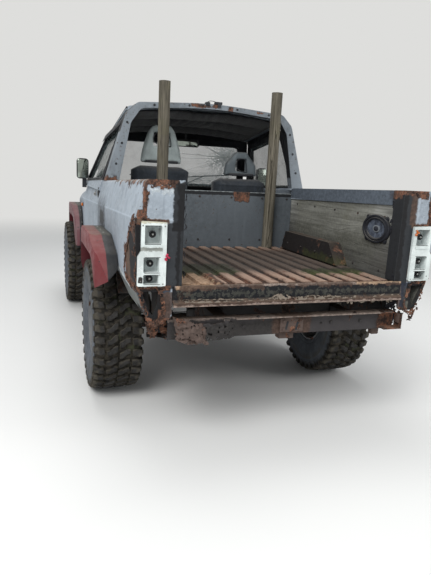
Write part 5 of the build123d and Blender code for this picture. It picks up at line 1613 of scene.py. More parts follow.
class PICKUP_OT_lamp_remains(bpy.types.Operator):
    """What is left in the rear lamps: bulb holders, screws and broken bits of lens"""
    bl_idname = "pickup.lamp_remains"
    bl_label = "Lamp Remains"

    def execute(self, context):
        dark, bright, shards = bmesh.new(), bmesh.new(), {"red lens": bmesh.new(), "amber lens": bmesh.new()}
        for side, s in SIDES:
            for y, z in ((0.729, 1.110), (0.738, 0.978), (0.740, 0.908)):
                hub = Vector((TAIL + 0.036, s * y, z))
                turned(dark, ((0.0, 0.0125), (0.020, 0.0125), (0.022, 0.0165), (0.026, 0.0165), (0.028, 0.0120),
                              (0.020, 0.0085),
                              (0.006, 0.0080)), hub, (-1, 0, 0), (0, 0, 1), 28)
                turned(bright, ((0.004, 0.0078), (0.022, 0.0074), (0.030, 0.0066), (0.034, 0.0040), (0.0352, 0.0)),
                       hub, (-1, 0, 0),
                       (0, 0, 1), 24)
                for turn in (0.6, 0.6 + math.pi):
                    rod(bright, hub + Vector((-0.016, 0, 0)), hub + Vector((-0.016, 0.0105 * math.cos(turn),
                                                                            0.0105 * math.sin(turn))),
                        0.0012, sides=8)
            for y, z in ((0.677, 1.148), (0.681, 0.885), (0.784, 0.900), (0.777, 1.150)):
                screw(bright, (TAIL - 0.0135, s * y, z), (-1, 0, 0), 0.0042)
            for z in (1.067, 1.150, 0.937, 1.008, 0.884, 0.928):
                block(dark, (TAIL - 0.0148, s * 0.731 - 0.036, z - 0.0012), (TAIL - 0.0128, s * 0.731 + 0.036,
                                                                             z + 0.0012), 0.0006, 1)
        for look, y, z, lean in (("red lens", 0.667, 1.008, 0.3), ("amber lens", -0.684, 1.132, -0.5)):
            for k, (dy, dz, w, h) in enumerate(((0.0, 0.010, 0.010, 0.016), (0.004, -0.008, 0.013, 0.012),
                                                (-0.006, 0.002, 0.008, 0.020))):
                turn = Matrix.Rotation(lean + 0.9 * k, 4, "X") @ Matrix.Rotation(0.35 * (k - 1), 4, "Z")
                block(shards[look], (TAIL - 0.0205, y + dy - w / 2, z + dz - h / 2), (TAIL - 0.0150, y + dy + w / 2,
                                                                                      z + dz + h / 2),
                      0.0016, 2, turn)
        add_piece("bulb_seals", dark, "black trim")
        add_piece("bulbs_and_screws", bright, "bright steel")
        for look, bm in shards.items():
            add_piece(f"broken_{look.split()[0]}_lens", bm, look, "body", "lamp_glass")
        return {"FINISHED"}


class PICKUP_OT_hoop_fittings(bpy.types.Operator):
    """Bolts, clip and lamp stub on the rear hoop, bolts of the bed, and the hitch plate"""
    bl_idname = "pickup.hoop_fittings"
    bl_label = "Hoop and Bed Fittings"

    def execute(self, context):
        bm, hoop = bmesh.new(), bmesh.new()
        for s in (1, -1):
            for y, z in ((0.688, 1.420), (0.650, 1.560), (0.616, 1.700), (0.430, 1.827), (0.180, 1.845)):
                bolt(hoop, (-0.600, s * y, z), (-1, 0, 0), 0.0060)
            for x in (-1.88, -1.62, -1.36, -1.10, -0.84):
                for z in (0.90, 1.20):
                    bolt(bm, (x, s * 0.601, z), (0, -s, 0), 0.0055)
            for x in (-1.50, -1.30, -1.10, -0.90):
                bolt(bm, (x, s * 0.515, 0.92), (0, -s, 0), 0.006)
        for y in (-0.56, -0.36, -0.12, 0.12, 0.36, 0.56):
            bolt(bm, (-0.740, y, 1.225), (-1, 0, 0), 0.006)
            bolt(bm, (-0.740, y, 0.92), (-1, 0, 0), 0.006)
        for y in (-0.43, -0.25, 0.43, 0.25):
            bolt(bm, (-2.000, y, 0.650), (-1, 0, 0), 0.008)
        for y in (-0.56, -0.38, 0.18):
            bolt(bm, (-2.018, y, 0.700), (0, 0, 1), 0.008)
        add_piece("bed_bolts", bm, "frame iron", "body", "rusty_steel")
        add_piece("hoop_bolts", hoop, "black trim")

        bm = bmesh.new()
        block(bm, (-0.606, -0.062, 1.868), (-0.560, -0.012, 1.886), 0.003)
        block(bm, (-0.612, -0.050, 1.846), (-0.604, -0.026, 1.884), 0.002)
        block(bm, (-0.604, 0.028, 1.852), (-0.566, 0.060, 1.880), 0.004)
        tube(bm, ((-0.590, -0.02, 1.884), (-0.600, 0.02, 1.892), (-0.596, 0.05, 1.880), (-0.606, 0.075, 1.858),
                  (-0.604, 0.10, 1.848)),
             0.0022, 8)
        add_piece("lamp_stub_and_clip", bm, "black trim")

        bm = bmesh.new()
        block(bm, (-2.008, -0.082, 0.609), (-2.001, 0.050, 0.684), 0.003)
        for y in (-0.062, 0.030):
            for z in (0.625, 0.668):
                bolt(bm, (-2.008, y, z), (-1, 0, 0), 0.0075)
        block(bm, (-1.975, -0.048, 0.563), (-1.925, 0.037, 0.600), 0.005)
        block(bm, (-1.970, -0.581, 0.556), (-1.930, -0.535, 0.604), 0.006)
        block(bm, (-2.050, -0.648, 0.640), (-2.020, -0.640, 0.690), 0.002)
        add_piece("hitch_plate_and_blocks", bm, "torn brown")
        bm = bmesh.new()
        for y, low, high in ((-0.045, 0.618, 0.664), (0.012, 0.622, 0.668)):
            block(bm, (-2.0095, y - 0.006, low), (-2.0070, y + 0.006, high), 0.001, 1, Matrix.Rotation(0.2, 4, "X"))
        add_piece("hitch_slots", bm, "black trim")
        return {"FINISHED"}


def screen_point(y, up, out):
    """Place on the sloping windscreen: across, up the slope and out of it."""
    foot, head = Vector(SCREEN_FOOT), Vector(SCREEN_HEAD)
    slope = (head - foot).normalized()
    return foot + slope * up + Vector((0, y, 0)) + Vector((slope.z, 0, -slope.x)) * out


class PICKUP_OT_screen_trim(bpy.types.Operator):
    """Rubber seal round the windscreen, two wipers, washer jets and the louvres of the cowl"""
    bl_idname = "pickup.screen_trim"
    bl_label = "Windscreen Trim"

    def execute(self, context):
        bm = bmesh.new()
        corners = ((-0.664, 0.054), (0.664, 0.054), (0.536, 0.534), (-0.536, 0.534))
        for out in (-0.002, -0.034):
            tube(bm, ring_round(corners, 0.09, 0.03, lambda y, up: screen_point(y, up, out)), 0.009, 8)
        add_piece("windscreen_seal", bm, "black trim")

        bm = bmesh.new()
        for y, tip in ((0.42, -0.02), (-0.10, -0.54)):
            pivot = screen_point(y, 0.012, 0.010)
            rod(bm, pivot - Vector((0.01, 0, 0.012)), pivot + Vector((0.012, 0, 0.012)), 0.011, 0.009, 18)
            end = screen_point((y + tip) / 2, 0.150, 0.020)
            tube(bm, (pivot, (pivot * 2 + end) / 3 + Vector((0.008, 0, 0.006)), end), 0.0042, 8)
            first, last = screen_point(y - 0.02, 0.128, 0.012), screen_point(tip, 0.176, 0.012)
            tube(bm, (first, (first + last) / 2 + Vector((0.003, 0, 0.003)), last), 0.0030, 8)
            tube(bm, (first - Vector((0.004, 0, 0.004)), last - Vector((0.004, 0, 0.004))), 0.0020, 6)
            for part in (0.2, 0.5, 0.8):
                spot = first.lerp(last, part)
                block(bm, spot - Vector((0.004, 0.008, 0.004)), spot + Vector((0.004, 0.008, 0.005)), 0.0015, 1)
        for y in (0.22, -0.30):
            rod(bm, (0.690, y, 1.198), (0.686, y, 1.208), 0.008, 0.005, 14)
        add_piece("wipers", bm, "black trim")

        bm = bmesh.new()
        for y in (-0.34, 0.34):
            for k in range(7):
                middle = y + (k - 3) * 0.046
                block(bm, (0.652, middle - 0.018, 1.212), (0.688, middle + 0.018, 1.2165), 0.0018, 2,
                      Matrix.Rotation(0.42, 4, "Y"))
        add_piece("cowl_louvres", bm, "black trim")
        return {"FINISHED"}


class PICKUP_OT_arch_flares(bpy.types.Operator):
    """Arch flares with softened edges, the rear ones broken off short at their tails"""
    bl_idname = "pickup.arch_flares"
    bl_label = "Arch Flares"

    def execute(self, context):
        bm = bmesh.new()
        bm.from_mesh(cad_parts["flares"].data)
        bmesh.ops.remove_doubles(bm, verts=bm.verts, dist=0.00005)
        bmesh.ops.dissolve_limit(bm, angle_limit=0.01, verts=bm.verts, edges=bm.edges)
        split = REAR_AXLE - 0.26
        bmesh.ops.bisect_plane(bm, geom=bm.verts[:] + bm.edges[:] + bm.faces[:], dist=0.00001, plane_co=(split, 0, 0),
                               plane_no=(1, 0, 0))
        for side, s in SIDES:
            for point, normal in (((0, s * 0.870, 0.795), (0, -s * 0.707, -0.707)), ((0, 0, 0.742), (0, 0, -1))):
                faces = [f for f in bm.faces if f.calc_center_median().x < split and s * f.calc_center_median().y > 0]
                geom = list({v for f in faces for v in f.verts}) + list({e for f in faces for e in f.edges}) + faces
                bmesh.ops.bisect_plane(bm, geom=geom, dist=0.00001, plane_co=point, plane_no=normal, clear_outer=True)
                bmesh.ops.holes_fill(bm, edges=[e for e in bm.edges if e.is_boundary], sides=0)
        sharp = [e for e in bm.edges if len(e.link_faces) == 2 and e.calc_face_angle(0.0) > 0.6]
        rounded(bm, sharp, 0.004)
        add_piece("arch_flares", bm, "flare paint", angle=40, replaces=("flares",))
        return {"FINISHED"}


class PICKUP_OT_oval_speakers(bpy.types.Operator):
    """Oval speakers in the side boards: frame with ears and screws, roll, cone and dust cap"""
    bl_idname = "pickup.oval_speakers"
    bl_label = "Speakers"

    OUTLINE = ((0.000, 0.100), (0.011, 0.100), (0.015, 0.096), (0.0155, 0.087), (0.010, 0.084), (0.012, 0.080),
               (0.0150, 0.074),
               (0.012, 0.067), (0.007, 0.064), (0.0032, 0.040), (0.0018, 0.026), (0.0060, 0.0245), (0.0062, 0.0185),
               (0.0090, 0.014),
               (0.0105, 0.007), (0.0110, 0.0))

    def execute(self, context):
        bm, mesh = bmesh.new(), bpy.data.meshes.new("speaker")
        for side, s in SIDES:
            hub = Vector((SPEAKER[0], s * SPEAKER[1], SPEAKER[2]))
            one = bmesh.new()
            turned(one, self.OUTLINE, (0, 0, 0), (0, -s, 0), (0, 0, 1), 64)
            bmesh.ops.scale(one, verts=one.verts, vec=(OVAL[0], 1, OVAL[1]))
            for a in (1, -1):
                for b in (1, -1):
                    spot = Vector((a * 0.086, -s * 0.005, b * 0.060))
                    rod(one, spot + Vector((0, s * 0.005, 0)), spot - Vector((0, s * 0.003, 0)), 0.016, 0.013, 20)
                    screw(one, spot - Vector((0, s * 0.003, 0)), (0, -s, 0), 0.0055)
            bmesh.ops.translate(one, verts=one.verts, vec=hub)
            one.to_mesh(mesh)
            one.free()
            bm.from_mesh(mesh)
        bpy.data.meshes.remove(mesh)
        add_piece("oval_speakers", bm, "speaker", replaces=("speakers",))
        return {"FINISHED"}


class PICKUP_OT_closing_sheets(bpy.types.Operator):
    """Rails and header that close the roof to the doors and windscreen, and sheets that close the tail"""
    bl_idname = "pickup.closing_sheets"
    bl_label = "Closing Sheets"

    def execute(self, context):
        bm = bmesh.new()
        for v in grid(bm, 30, 2):
            y, high = v.co.x * 1.196, v.co.y + 0.5
            under = 1.671 + 0.055 * (1 - (y / 0.6) ** 2) + 0.010
            v.co = (0.216 - 0.008 * high, y, 1.690 + (max(under, 1.694) - 1.690) * high)
        for s in (1, -1):
            for v in grid(bm, 24, 2):
                a, high = v.co.x + 0.5, v.co.y + 0.5
                low_y, low_z = 0.600 - 0.034 * a, 1.640 + 0.093 * a
                v.co = (0.204 - 0.709 * a, s * (low_y + (0.592 - low_y) * high),
                        low_z + (1.678 + 0.110 * a - low_z) * high)
        add_piece("roof_rails", bm, "roof rail", wall=0.003)
        bm = bmesh.new()
        for s in (1, -1):
            for v in grid(bm, 24, 4):
                z, back = 1.522 + 0.304 * v.co.x, v.co.y + 0.5
                v.co = (0.616 - 0.8013 * (z - 1.232) - 0.062 * back,
                        s * (0.710 - 0.356 * (z - 1.345) - 0.030 * (1 - back)), z)
        add_piece("pillar_trims", bm, "roof rail", wall=0.003)
        bm = bmesh.new()
        for v in grid(bm, 60, 4):
            y, high = v.co.x * 1.14, v.co.y + 0.5
            top = 1.668 + 0.055 * (1 - (y / 0.6) ** 2)
            v.co = (0.2065 - 0.012 * high + 0.002 * math.sin(y * 60), y, 1.668 + (max(top, 1.672) - 1.668) * high)
        add_piece("lining_edge", bm, "roof lining", wall=0.002)
        bm = bmesh.new()
        for s in (1, -1):
            tube(bm, ((0.205, s * 0.604, 1.697), (-0.15, s * 0.604, 1.751), (-0.508, s * 0.604, 1.806)), 0.007, 10)
        add_piece("roof_gutters", bm, "black trim", "body", "black_steel")

        bm = bmesh.new()
        for s in (1, -1):
            for v in grid(bm, 30, 12):
                a, b = v.co.x + 0.5, v.co.y + 0.5
                dent = 0.004 * noise.fractal(Vector((a * 5, b * 3, s)), 0.8, 2.0, 4)
                v.co = (-1.965 + 0.445 * a, s * (0.617 + dent), 0.604 + 0.258 * b)
        add_piece("floor_skirts", bm, "frame iron", wall=0.002)
        bm = bmesh.new()
        strip(bm, ((-1.962, -0.655, 0.800), (-1.972, -0.650, 0.700), (-1.966, -0.640, 0.610)), (0, 1, 0), 0.085,
              (50, 24), 0.30, 0.010, 0.05, 121)
        strip(bm, ((-1.950, 0.640, 0.800), (-1.960, 0.650, 0.700), (-1.952, 0.640, 0.620)), (0, 1, 0), 0.085, (50, 24),
              0.30, 0.010, 0.05, 127)
        add_piece("tail_gussets", bm, "torn skin", angle=45, wall=0.002)
        return {"FINISHED"}


class PICKUP_OT_flare_trim(bpy.types.Operator):
    """Screws along the arch flares, and the amber side lamps"""
    bl_idname = "pickup.flare_trim"
    bl_label = "Flare Trim"

    def execute(self, context):
        bm = bmesh.new()
        line = ((-0.560, 0.700), (-0.545, 0.810), (-0.450, 0.935), (-0.230, 1.015), (0.230, 1.015), (0.450, 0.935),
                (0.545, 0.810),
                (0.560, 0.700))
        for (place, axle), inset in zip(WHEELS, (0.862, 0.820)):
            for side, s in SIDES:
                for (x0, z0), (x1, z1) in zip(line, line[1:]):
                    steps = 3 if x1 - x0 > 0.3 else 1
                    for k in range(steps):
                        part = (k + 0.5) / steps
                        away = Vector((z0 - z1, 0, x1 - x0)).normalized()
                        if axle < 0 and not -0.30 < x0 + (x1 - x0) * part < 0.50:
                            continue
                        spot = Vector((axle + x0 + (x1 - x0) * part, s * (inset - 0.018), z0 + (z1 - z0) * part))
                        screw(bm, spot, away, 0.0055)
        add_piece("flare_screws", bm, "bright steel")
        lamps, rims = bmesh.new(), bmesh.new()
        for side, s in SIDES:
            out = Vector((0, s, 0))
            spot = Vector((0.655, s * 0.8035, 1.052))
            block(rims, spot - Vector((0.034, 0.004, 0.018)), spot + Vector((0.034, 0.004, 0.018)), 0.004)
            block(lamps, spot + out * 0.010 - Vector((0.028, 0.008, 0.013)),
                  spot + out * 0.010 + Vector((0.028, 0.008, 0.013)), 0.005, 3)
        add_piece("side_lamp_rims", rims, "black trim")
        add_piece("side_lamps", lamps, "amber lens")
        return {"FINISHED"}


def window_point(s, u, v, out):
    """Place on the leaning plane of a door window: rearwards, up and out of it."""
    sine, cosine = math.sin(WINDOW_LEAN), math.cos(WINDOW_LEAN)
    return Vector((-u, s * (0.755 - v * sine + out * cosine), 1.345 + v * cosine + out * sine))


class PICKUP_OT_door_trim(bpy.types.Operator):
    """Window seals, rain deflectors, locks, door cards with armrest, winder and catch, and mirror glasses"""
    bl_idname = "pickup.door_trim"
    bl_label = "Door Trim"

    WINDOW = ((-0.440, -0.062), (-0.205, 0.300), (0.455, 0.387), (0.455, -0.028))
    DEFLECTOR = ((-0.258, 0.262), (-0.205, 0.318), (0.455, 0.404), (0.455, 0.362), (-0.190, 0.276))

    def execute(self, context):
        for side, s in SIDES:
            body = f"door_{side}_body"
            bm = bmesh.new()
            for out in (0.001, -0.030):
                tube(bm, ring_round(self.WINDOW, 0.08, 0.024, lambda u, v: window_point(s, u, v, out)), 0.0055, 8)
            origin = window_point(s, 0, 0, 0.010)
            right, up, out = (window_point(s, 1, 0, 0.010) - origin, window_point(s, 0, 1, 0.010) - origin,
                              window_point(s, 0, 0, 1.010) - origin)
            place = Matrix((right, up, out)).transposed().to_4x4()
            place.translation = origin
            plate(bm, self.DEFLECTOR, 0.003, place, 0.0012)
            for u in (-0.15, 0.05, 0.25, 0.42):
                v = 0.318 + (u + 0.205) * 0.13 - 0.012
                rod(bm, window_point(s, u, v, 0.0), window_point(s, u, v, 0.012), 0.006, 0.006, 12)
            block(bm, (-0.484, s * 0.786 - 0.011, 0.70), (-0.478, s * 0.786 + 0.011, 1.25), 0.002)
            add_piece(f"window_seal_{side}", bm, "black trim", body)

            bm = bmesh.new()
            hub = Vector((-0.285, s * 0.7985, 1.196))
            turned(bm, ((-0.002, 0.0125), (0.0035, 0.0125), (0.006, 0.0105), (0.006, 0.0075), (0.0045, 0.0065),
                        (0.0045, 0.0)), hub,
                   (0, s, 0), (0, 0, 1), 24)
            block(bm, hub + Vector((-0.0012, s * 0.0042 - 0.001, -0.005)),
                  hub + Vector((0.0012, s * 0.0042 + 0.001, 0.005)), 0.0003, 1)
            block(bm, (-0.4485, s * 0.7955 - 0.003, 1.183), (-0.4405, s * 0.7955 + 0.003, 1.227), 0.0015, 1)
            block(bm, (-0.3295, s * 0.7955 - 0.003, 1.183), (-0.3215, s * 0.7955 + 0.003, 1.227), 0.0015, 1)
            add_piece(f"door_lock_{side}", bm, "bright steel", body)

            bm = bmesh.new()
            inner = 0.7445
            block(bm, (-0.455, s * inner - 0.004, 0.700), (0.470, s * inner + 0.004, 1.215), 0.0035)
            for z in (0.86, 1.02, 1.12):
                block(bm, (-0.43, s * (inner - 0.006) - 0.003, z), (0.44, s * (inner - 0.006) + 0.003, z + 0.022),
                      0.0028)
            block(bm, (-0.30, s * (inner - 0.032) - 0.028, 0.985), (0.10, s * (inner - 0.032) + 0.028, 1.030), 0.014, 4)
            block(bm, (-0.34, s * (inner - 0.014) - 0.010, 0.735), (0.12, s * (inner - 0.014) + 0.010, 0.835), 0.008, 3)
            add_piece(f"door_card_{side}", bm, "dash plastic", body)

            bm = bmesh.new()
            hub = Vector((0.20, s * (inner - 0.008), 0.945))
            rod(bm, hub, hub - Vector((0, s * 0.024, 0)), 0.015, 0.013, 20)
            tube(bm, (hub - Vector((0, s * 0.020, 0)), hub + Vector((-0.045, -s * 0.028, 0.012)),
                      hub + Vector((-0.095, -s * 0.030, 0.020))),
                 0.0055, 8)
            rod(bm, hub + Vector((-0.095, -s * 0.028, 0.020)), hub + Vector((-0.095, -s * 0.058, 0.020)), 0.010, 0.012,
                18)
            block(bm, (0.02, s * (inner - 0.012) - 0.006, 1.070), (0.14, s * (inner - 0.012) + 0.006, 1.112), 0.005)
            block(bm, (0.035, s * (inner - 0.022) - 0.005, 1.084), (0.125, s * (inner - 0.022) + 0.005, 1.100), 0.004)
            add_piece(f"door_handles_inside_{side}", bm, "black trim", body)

            bm = bmesh.new()
            block(bm, (0.3668, s * 0.831 - 0.041, 1.296), (0.3705, s * 0.831 + 0.041, 1.448), 0.0018)
            add_piece(f"door_mirror_glass_{side}", bm, "mirror glass", body)
        return {"FINISHED"}


class PICKUP_OT_front_trim(bpy.types.Operator):
    """Radiator core, lamp reflectors and rims, turn lamps, bumper bolts and towing eyes"""
    bl_idname = "pickup.front_trim"
    bl_label = "Front Trim"

    def execute(self, context):
        bm = bmesh.new()
        block(bm, (1.925, -0.42, 0.715), (1.945, 0.42, 1.015), 0.004)
        for k in range(70):
            y = -0.414 + k * 0.012
            block(bm, (1.944, y - 0.0012, 0.72), (1.949, y + 0.0012, 1.01), 0.0004, 1)
        for k in range(9):
            z = 0.745 + k * 0.030
            rod(bm, (1.950, -0.41, z), (1.950, 0.41, z), 0.0022, sides=8)
        add_piece("radiator_core", bm, "black trim")

        bowls, rims, ambers = bmesh.new(), bmesh.new(), bmesh.new()
        for side, s in SIDES:
            hub = Vector((1.892, s * 0.540, 0.940))
            turned(bowls, ((0.000, 0.0), (0.002, 0.022), (0.016, 0.045), (0.040, 0.062), (0.066, 0.070)), hub,
                   (1, 0, 0), (0, 0, 1), 48)
            turned(bowls, ((0.002, 0.010), (0.040, 0.010), (0.046, 0.006), (0.047, 0.0)), hub, (1, 0, 0), (0, 0, 1), 20)
            for y0, y1, z0, z1 in ((0.434, 0.646, 1.015, 1.026), (0.434, 0.646, 0.854, 0.865),
                                   (0.430, 0.441, 0.856, 1.024),
                                   (0.639, 0.650, 0.856, 1.024)):
                block(rims, (1.972, min(s * y0, s * y1), z0), (1.988, max(s * y0, s * y1), z1), 0.003)
            block(rims, (1.970, min(s * 0.655, s * 0.716), 0.850), (1.982, max(s * 0.655, s * 0.716), 1.030), 0.004)
            block(ambers, (1.978, min(s * 0.660, s * 0.711), 0.858), (1.998, max(s * 0.660, s * 0.711), 1.022), 0.006,
                  3)
        add_piece("headlamp_reflectors", bowls, "reflector")
        add_piece("lamp_rims", rims, "black trim")
        add_piece("turn_lamps", ambers, "amber lens")

        bm = bmesh.new()
        for s in (1, -1):
            for y in (0.44, 0.66):
                depth = 2.063 if y < 0.56 else 2.034
                bolt(bm, (depth - 0.008, s * y, 0.600), (1, 0, 0), 0.009)
            tube(bm, [(2.010 + 0.030 * math.sin(t), s * 0.36, 0.470 - 0.026 * math.cos(t)) for t in
                      (0.3, 0.9, 1.5, 2.1, 2.7)], 0.008, 12)
            block(bm, (1.93, s * 0.36 - 0.012, 0.486), (2.016, s * 0.36 + 0.012, 0.512), 0.004)
        add_piece("bumper_bolts_and_eyes", bm, "rusty iron")
        return {"FINISHED"}


class PICKUP_OT_bonnet_trim(bpy.types.Operator):
    """Stiffening ribs under the bonnet"""
    bl_idname = "pickup.bonnet_trim"
    bl_label = "Bonnet Trim"

    def execute(self, context):
        bm = bmesh.new()
        for x in (0.86, 1.20, 1.54, 1.80):
            z = 1.206 - (x - 0.706) * 0.0931 - 0.006
            block(bm, (x - 0.020, -0.56, z - 0.030), (x + 0.020, 0.56, z - 0.014), 0.005)
        for y in (-0.40, 0.40):
            block(bm, (0.80, y - 0.022, 1.140), (1.86, y + 0.022, 1.150), 0.004, 2, Matrix.Rotation(0.093, 4, "Y"))
        add_piece("bonnet_ribs", bm, "frame iron", "bonnet_body", "body_paint")
        return {"FINISHED"}


class PICKUP_OT_cab_fittings(bpy.types.Operator):
    """Dials, vents, switches, levers, pedals and the mirror glass inside the cab"""
    bl_idname = "pickup.cab_fittings"
    bl_label = "Cab Fittings"

    def execute(self, context):
        bm = bmesh.new()
        face = Vector((-0.97, 0, 0.24)).normalized()
        for y, radius in ((0.265, 0.034), (0.395, 0.034), (0.330, 0.017)):
            hub = Vector((0.338 - 0.004, y, 1.148))
            turned(bm, ((-0.002, radius), (0.006, radius), (0.008, radius - 0.004), (0.003, radius - 0.006),
                        (0.002, 0.004),
                        (0.006, 0.004), (0.006, 0.0)), hub, face, (0, 1, 0), 32)
        for y in (-0.60, -0.06, 0.06, 0.60):
            block(bm, (0.334, y - 0.046, 1.070), (0.352, y + 0.046, 1.116), 0.004)
            for k in range(5):
                z = 1.077 + k * 0.008
                block(bm, (0.328, y - 0.040, z - 0.001), (0.338, y + 0.040, z + 0.001), 0.0005, 1)
        for k in range(5):
            rod(bm, (0.350, -0.04 + k * 0.02, 1.035), (0.334, -0.04 + k * 0.02, 1.033), 0.006, 0.005, 14)
        tube(bm, ((0.22, 0.0, 0.740), (0.20, 0.0, 0.84), (0.12, 0.005, 0.95), (0.09, 0.008, 1.00)), 0.0075, 10)
        turned(bm, ((-0.024, 0.0), (-0.020, 0.012), (-0.006, 0.021), (0.010, 0.021), (0.022, 0.012), (0.025, 0.0)),
               (0.086, 0.008, 1.012), (-0.3, 0, 1), (0, 1, 0), 24)
        turned(bm, ((0.0, 0.056), (0.030, 0.046), (0.040, 0.034), (0.060, 0.028), (0.066, 0.012)), (0.22, 0.0, 0.738),
               (0, 0, 1),
               (1, 0, 0), 28)
        tube(bm, ((0.10, -0.075, 0.740), (0.08, -0.075, 0.83), (0.05, -0.070, 0.90)), 0.006, 10)
        turned(bm, ((-0.016, 0.0), (-0.010, 0.014), (0.008, 0.016), (0.017, 0.0)), (0.046, -0.070, 0.908),
               (-0.4, 0, 1), (0, 1, 0), 20)
        tube(bm, ((-0.02, 0.085, 0.745), (-0.10, 0.085, 0.80), (-0.19, 0.085, 0.862)), 0.009, 10)
        rod(bm, (-0.13, 0.085, 0.822), (-0.205, 0.085, 0.873), 0.014, 0.013, 16)
        for y, wide, z in ((0.44, 0.030, 0.72), (0.34, 0.034, 0.72), (0.24, 0.022, 0.70)):
            tube(bm, ((0.60, y, 0.92), (0.56, y, 0.80), (0.512, y, z)), 0.006, 8)
            block(bm, (0.490, y - wide, z - 0.030), (0.506, y + wide, z + 0.030), 0.005, 2,
                  Matrix.Rotation(-0.5, 4, "Y"))
        for dy in (-1, 1):
            tube(bm, ((0.25, 0.33 + dy * 0.03, 1.085), (0.235, 0.33 + dy * 0.09, 1.090), (0.225, 0.33 + dy * 0.135,
                                                                                          1.092)), 0.0055, 8)
        add_piece("cab_controls", bm, "black trim")
        bm = bmesh.new()
        block(bm, (0.1065, -0.104, 1.600), (0.1105, 0.104, 1.650), 0.002)
        add_piece("cab_mirror_glass", bm, "mirror glass")
        bm = bmesh.new()
        for s in (1, -1):
            for x in (-0.30, 0.13):
                for dy in (-0.17, 0.17):
                    block(bm, (x - 0.02, s * SEAT_Y + dy - 0.015, 0.600), (x + 0.02, s * SEAT_Y + dy + 0.015, 0.746),
                          0.003)
            for dy in (-0.17, 0.17):
                block(bm, (-0.33, s * SEAT_Y + dy - 0.018, 0.728), (0.17, s * SEAT_Y + dy + 0.018, 0.748), 0.004)
        add_piece("seat_runners", bm, "frame iron")
        return {"FINISHED"}


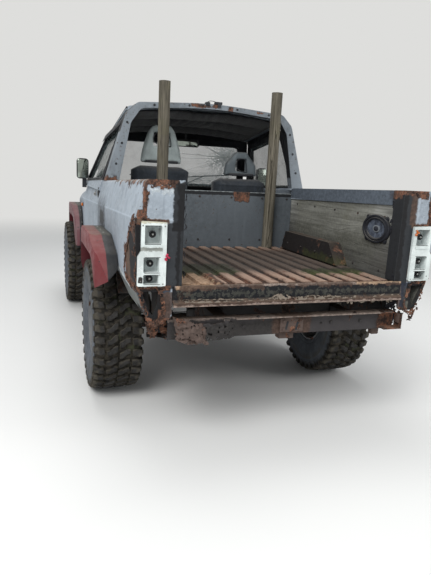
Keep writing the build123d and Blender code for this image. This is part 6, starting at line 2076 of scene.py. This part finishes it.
class PICKUP_OT_underbody(bpy.types.Operator):
    """Spring bolts, dampers, bump stops, propeller shafts and pipes"""
    bl_idname = "pickup.underbody"
    bl_label = "Underbody"

    def execute(self, context):
        bm = bmesh.new()
        for s in (1, -1):
            for dx in (-0.055, 0.055):
                x = REAR_AXLE + dx
                tube(bm, ((x, s * 0.425, 0.330), (x, s * 0.425, 0.430), (x, s * 0.425, 0.468), (x, s * 0.460, 0.472),
                          (x, s * 0.495, 0.468), (x, s * 0.495, 0.430), (x, s * 0.495, 0.330)), 0.0065, 8)
                for y in (0.425, 0.495):
                    rod(bm, (x, s * y, 0.318), (x, s * y, 0.336), 0.011, 0.011, 6)
            block(bm, (REAR_AXLE - 0.085, s * 0.460 - 0.052, 0.336), (REAR_AXLE + 0.085, s * 0.460 + 0.052, 0.346),
                  0.003)
            block(bm, (REAR_AXLE - 0.050, s * 0.460 - 0.030, 0.356), (REAR_AXLE + 0.050, s * 0.460 + 0.030, 0.376),
                  0.003)
            foot, head = Vector((REAR_AXLE - 0.10, s * 0.53, 0.350)), Vector((REAR_AXLE - 0.22, s * 0.40, 0.700))
            rod(bm, foot, foot.lerp(head, 0.55), 0.024, 0.024, 24)
            rod(bm, foot.lerp(head, 0.5), head, 0.030, 0.030, 24)
            rod(bm, foot - Vector((0, 0.028, 0)), foot + Vector((0, 0.028, 0)), 0.018, 0.018, 16)
            rod(bm, head - Vector((0, 0.030, 0)), head + Vector((0, 0.030, 0)), 0.018, 0.018, 16)
            block(bm, (REAR_AXLE - 0.03, s * 0.36 - 0.026, 0.560), (REAR_AXLE + 0.03, s * 0.36 + 0.026, 0.622), 0.014,
                  3)
            foot, head = Vector((FRONT_AXLE + 0.07, s * 0.470, 0.330)), Vector((FRONT_AXLE + 0.07, s * 0.400, 0.640))
            rod(bm, foot, foot.lerp(head, 0.55), 0.022, 0.022, 24)
            rod(bm, foot.lerp(head, 0.5), head, 0.028, 0.028, 24)
            rod(bm, (FRONT_AXLE - 0.90, s * 0.330, 0.330), (FRONT_AXLE - 0.06, s * 0.345, 0.318), 0.014, 0.014, 16)
        add_piece("springs_and_dampers", bm, "frame iron")

        bm = bmesh.new()
        for start, end in (((-0.02, 0.0, 0.545), (REAR_AXLE + 0.225, 0.0, 0.425)),
                           ((0.46, 0.15, 0.500), (FRONT_AXLE - 0.12, 0.10, 0.430))):
            start, end = Vector(start), Vector(end)
            way = (end - start).normalized()
            rod(bm, start + way * 0.07, end - way * 0.07, 0.034, 0.034, 28)
            for tip, sign in ((start, 1), (end, -1)):
                rod(bm, tip - way * 0.004 * sign, tip + way * 0.012 * sign, 0.056, 0.056, 28)
                rod(bm, tip + way * 0.012 * sign, tip + way * 0.075 * sign, 0.024, 0.034, 20)
                rod(bm, tip + way * 0.040 * sign - Vector((0, 0.036, 0)),
                    tip + way * 0.040 * sign + Vector((0, 0.036, 0)), 0.014, 0.014, 14)
                rod(bm, tip + way * 0.040 * sign - Vector((0, 0, 0.036)),
                    tip + way * 0.040 * sign + Vector((0, 0, 0.036)), 0.014, 0.014, 14)
        add_piece("propeller_shafts", bm, "cast iron")

        bm = bmesh.new()
        tube(bm, ((0.90, 0.33, 0.585), (0.30, 0.322, 0.560), (-0.40, 0.322, 0.540), (-0.74, 0.322, 0.640),
                  (-0.95, 0.24, 0.66),
                  (-1.00, 0.10, 0.50), (REAR_AXLE, 0.14, 0.466), (REAR_AXLE, 0.50, 0.462), (REAR_AXLE + 0.02, 0.66,
                                                                                            0.470)), 0.0035, 6)
        tube(bm, ((REAR_AXLE, 0.14, 0.468), (REAR_AXLE, -0.20, 0.462), (REAR_AXLE + 0.02, -0.66, 0.470)), 0.0035, 6)
        tube(bm, ((-1.52, 0.20, 0.64), (-1.50, 0.36, 0.72), (-1.52, 0.52, 0.78)), 0.016, 12)
        for k in range(5):
            x = -0.60 + k * 0.34
            block(bm, (x - 0.010, 0.316, 0.535), (x + 0.010, 0.328, 0.560), 0.002)
        add_piece("brake_pipes", bm, "black trim")
        return {"FINISHED"}


# Panel and registration

STEPS = (PICKUP_OT_stage, PICKUP_OT_panels, PICKUP_OT_tyres, PICKUP_OT_wheel_fittings, PICKUP_OT_seats,
         PICKUP_OT_restraints, PICKUP_OT_posts, PICKUP_OT_lining, PICKUP_OT_cracks, PICKUP_OT_crusts,
         PICKUP_OT_sill_lip, PICKUP_OT_lamp_remains, PICKUP_OT_hoop_fittings, PICKUP_OT_screen_trim,
         PICKUP_OT_arch_flares, PICKUP_OT_oval_speakers, PICKUP_OT_closing_sheets, PICKUP_OT_flare_trim,
         PICKUP_OT_door_trim, PICKUP_OT_front_trim, PICKUP_OT_bonnet_trim, PICKUP_OT_cab_fittings, PICKUP_OT_underbody)
GROUPS = (("body", BodyFinish), ("rust", RustFinish), ("lamp", LampFinish), ("cab", CabFinish), ("wood", WoodFinish),
          ("tyre", TyreShape), ("stage", StageShape))


class PICKUP_PT_sidebar(bpy.types.Panel):
    """Lists the pickup's pieces and settings"""
    bl_label = "Worn Pickup"
    bl_space_type = "VIEW_3D"
    bl_region_type = "UI"
    bl_category = "Pickup"

    def draw(self, context):
        for step in STEPS:
            self.layout.operator(step.bl_idname)
        for label, group in GROUPS:
            box = self.layout.box()
            box.label(text=label.title())
            for key in group.__annotations__:
                box.prop(settings(label), key)


def register():
    for group in [g for label, g in GROUPS] + list(STEPS) + [PICKUP_PT_sidebar]:
        bpy.utils.register_class(group)
    for label, group in GROUPS:
        setattr(bpy.types.Scene, "pickup_" + label, PointerProperty(type=group))


def unregister():
    for label, group in GROUPS:
        delattr(bpy.types.Scene, "pickup_" + label)
    for group in [PICKUP_PT_sidebar] + list(reversed(STEPS)) + [g for label, g in GROUPS]:
        bpy.utils.unregister_class(group)


def main():
    register()
    for step in STEPS:
        family, name = step.bl_idname.split(".")
        getattr(getattr(bpy.ops, family), name)()


if __name__ == "__main__":
    main()
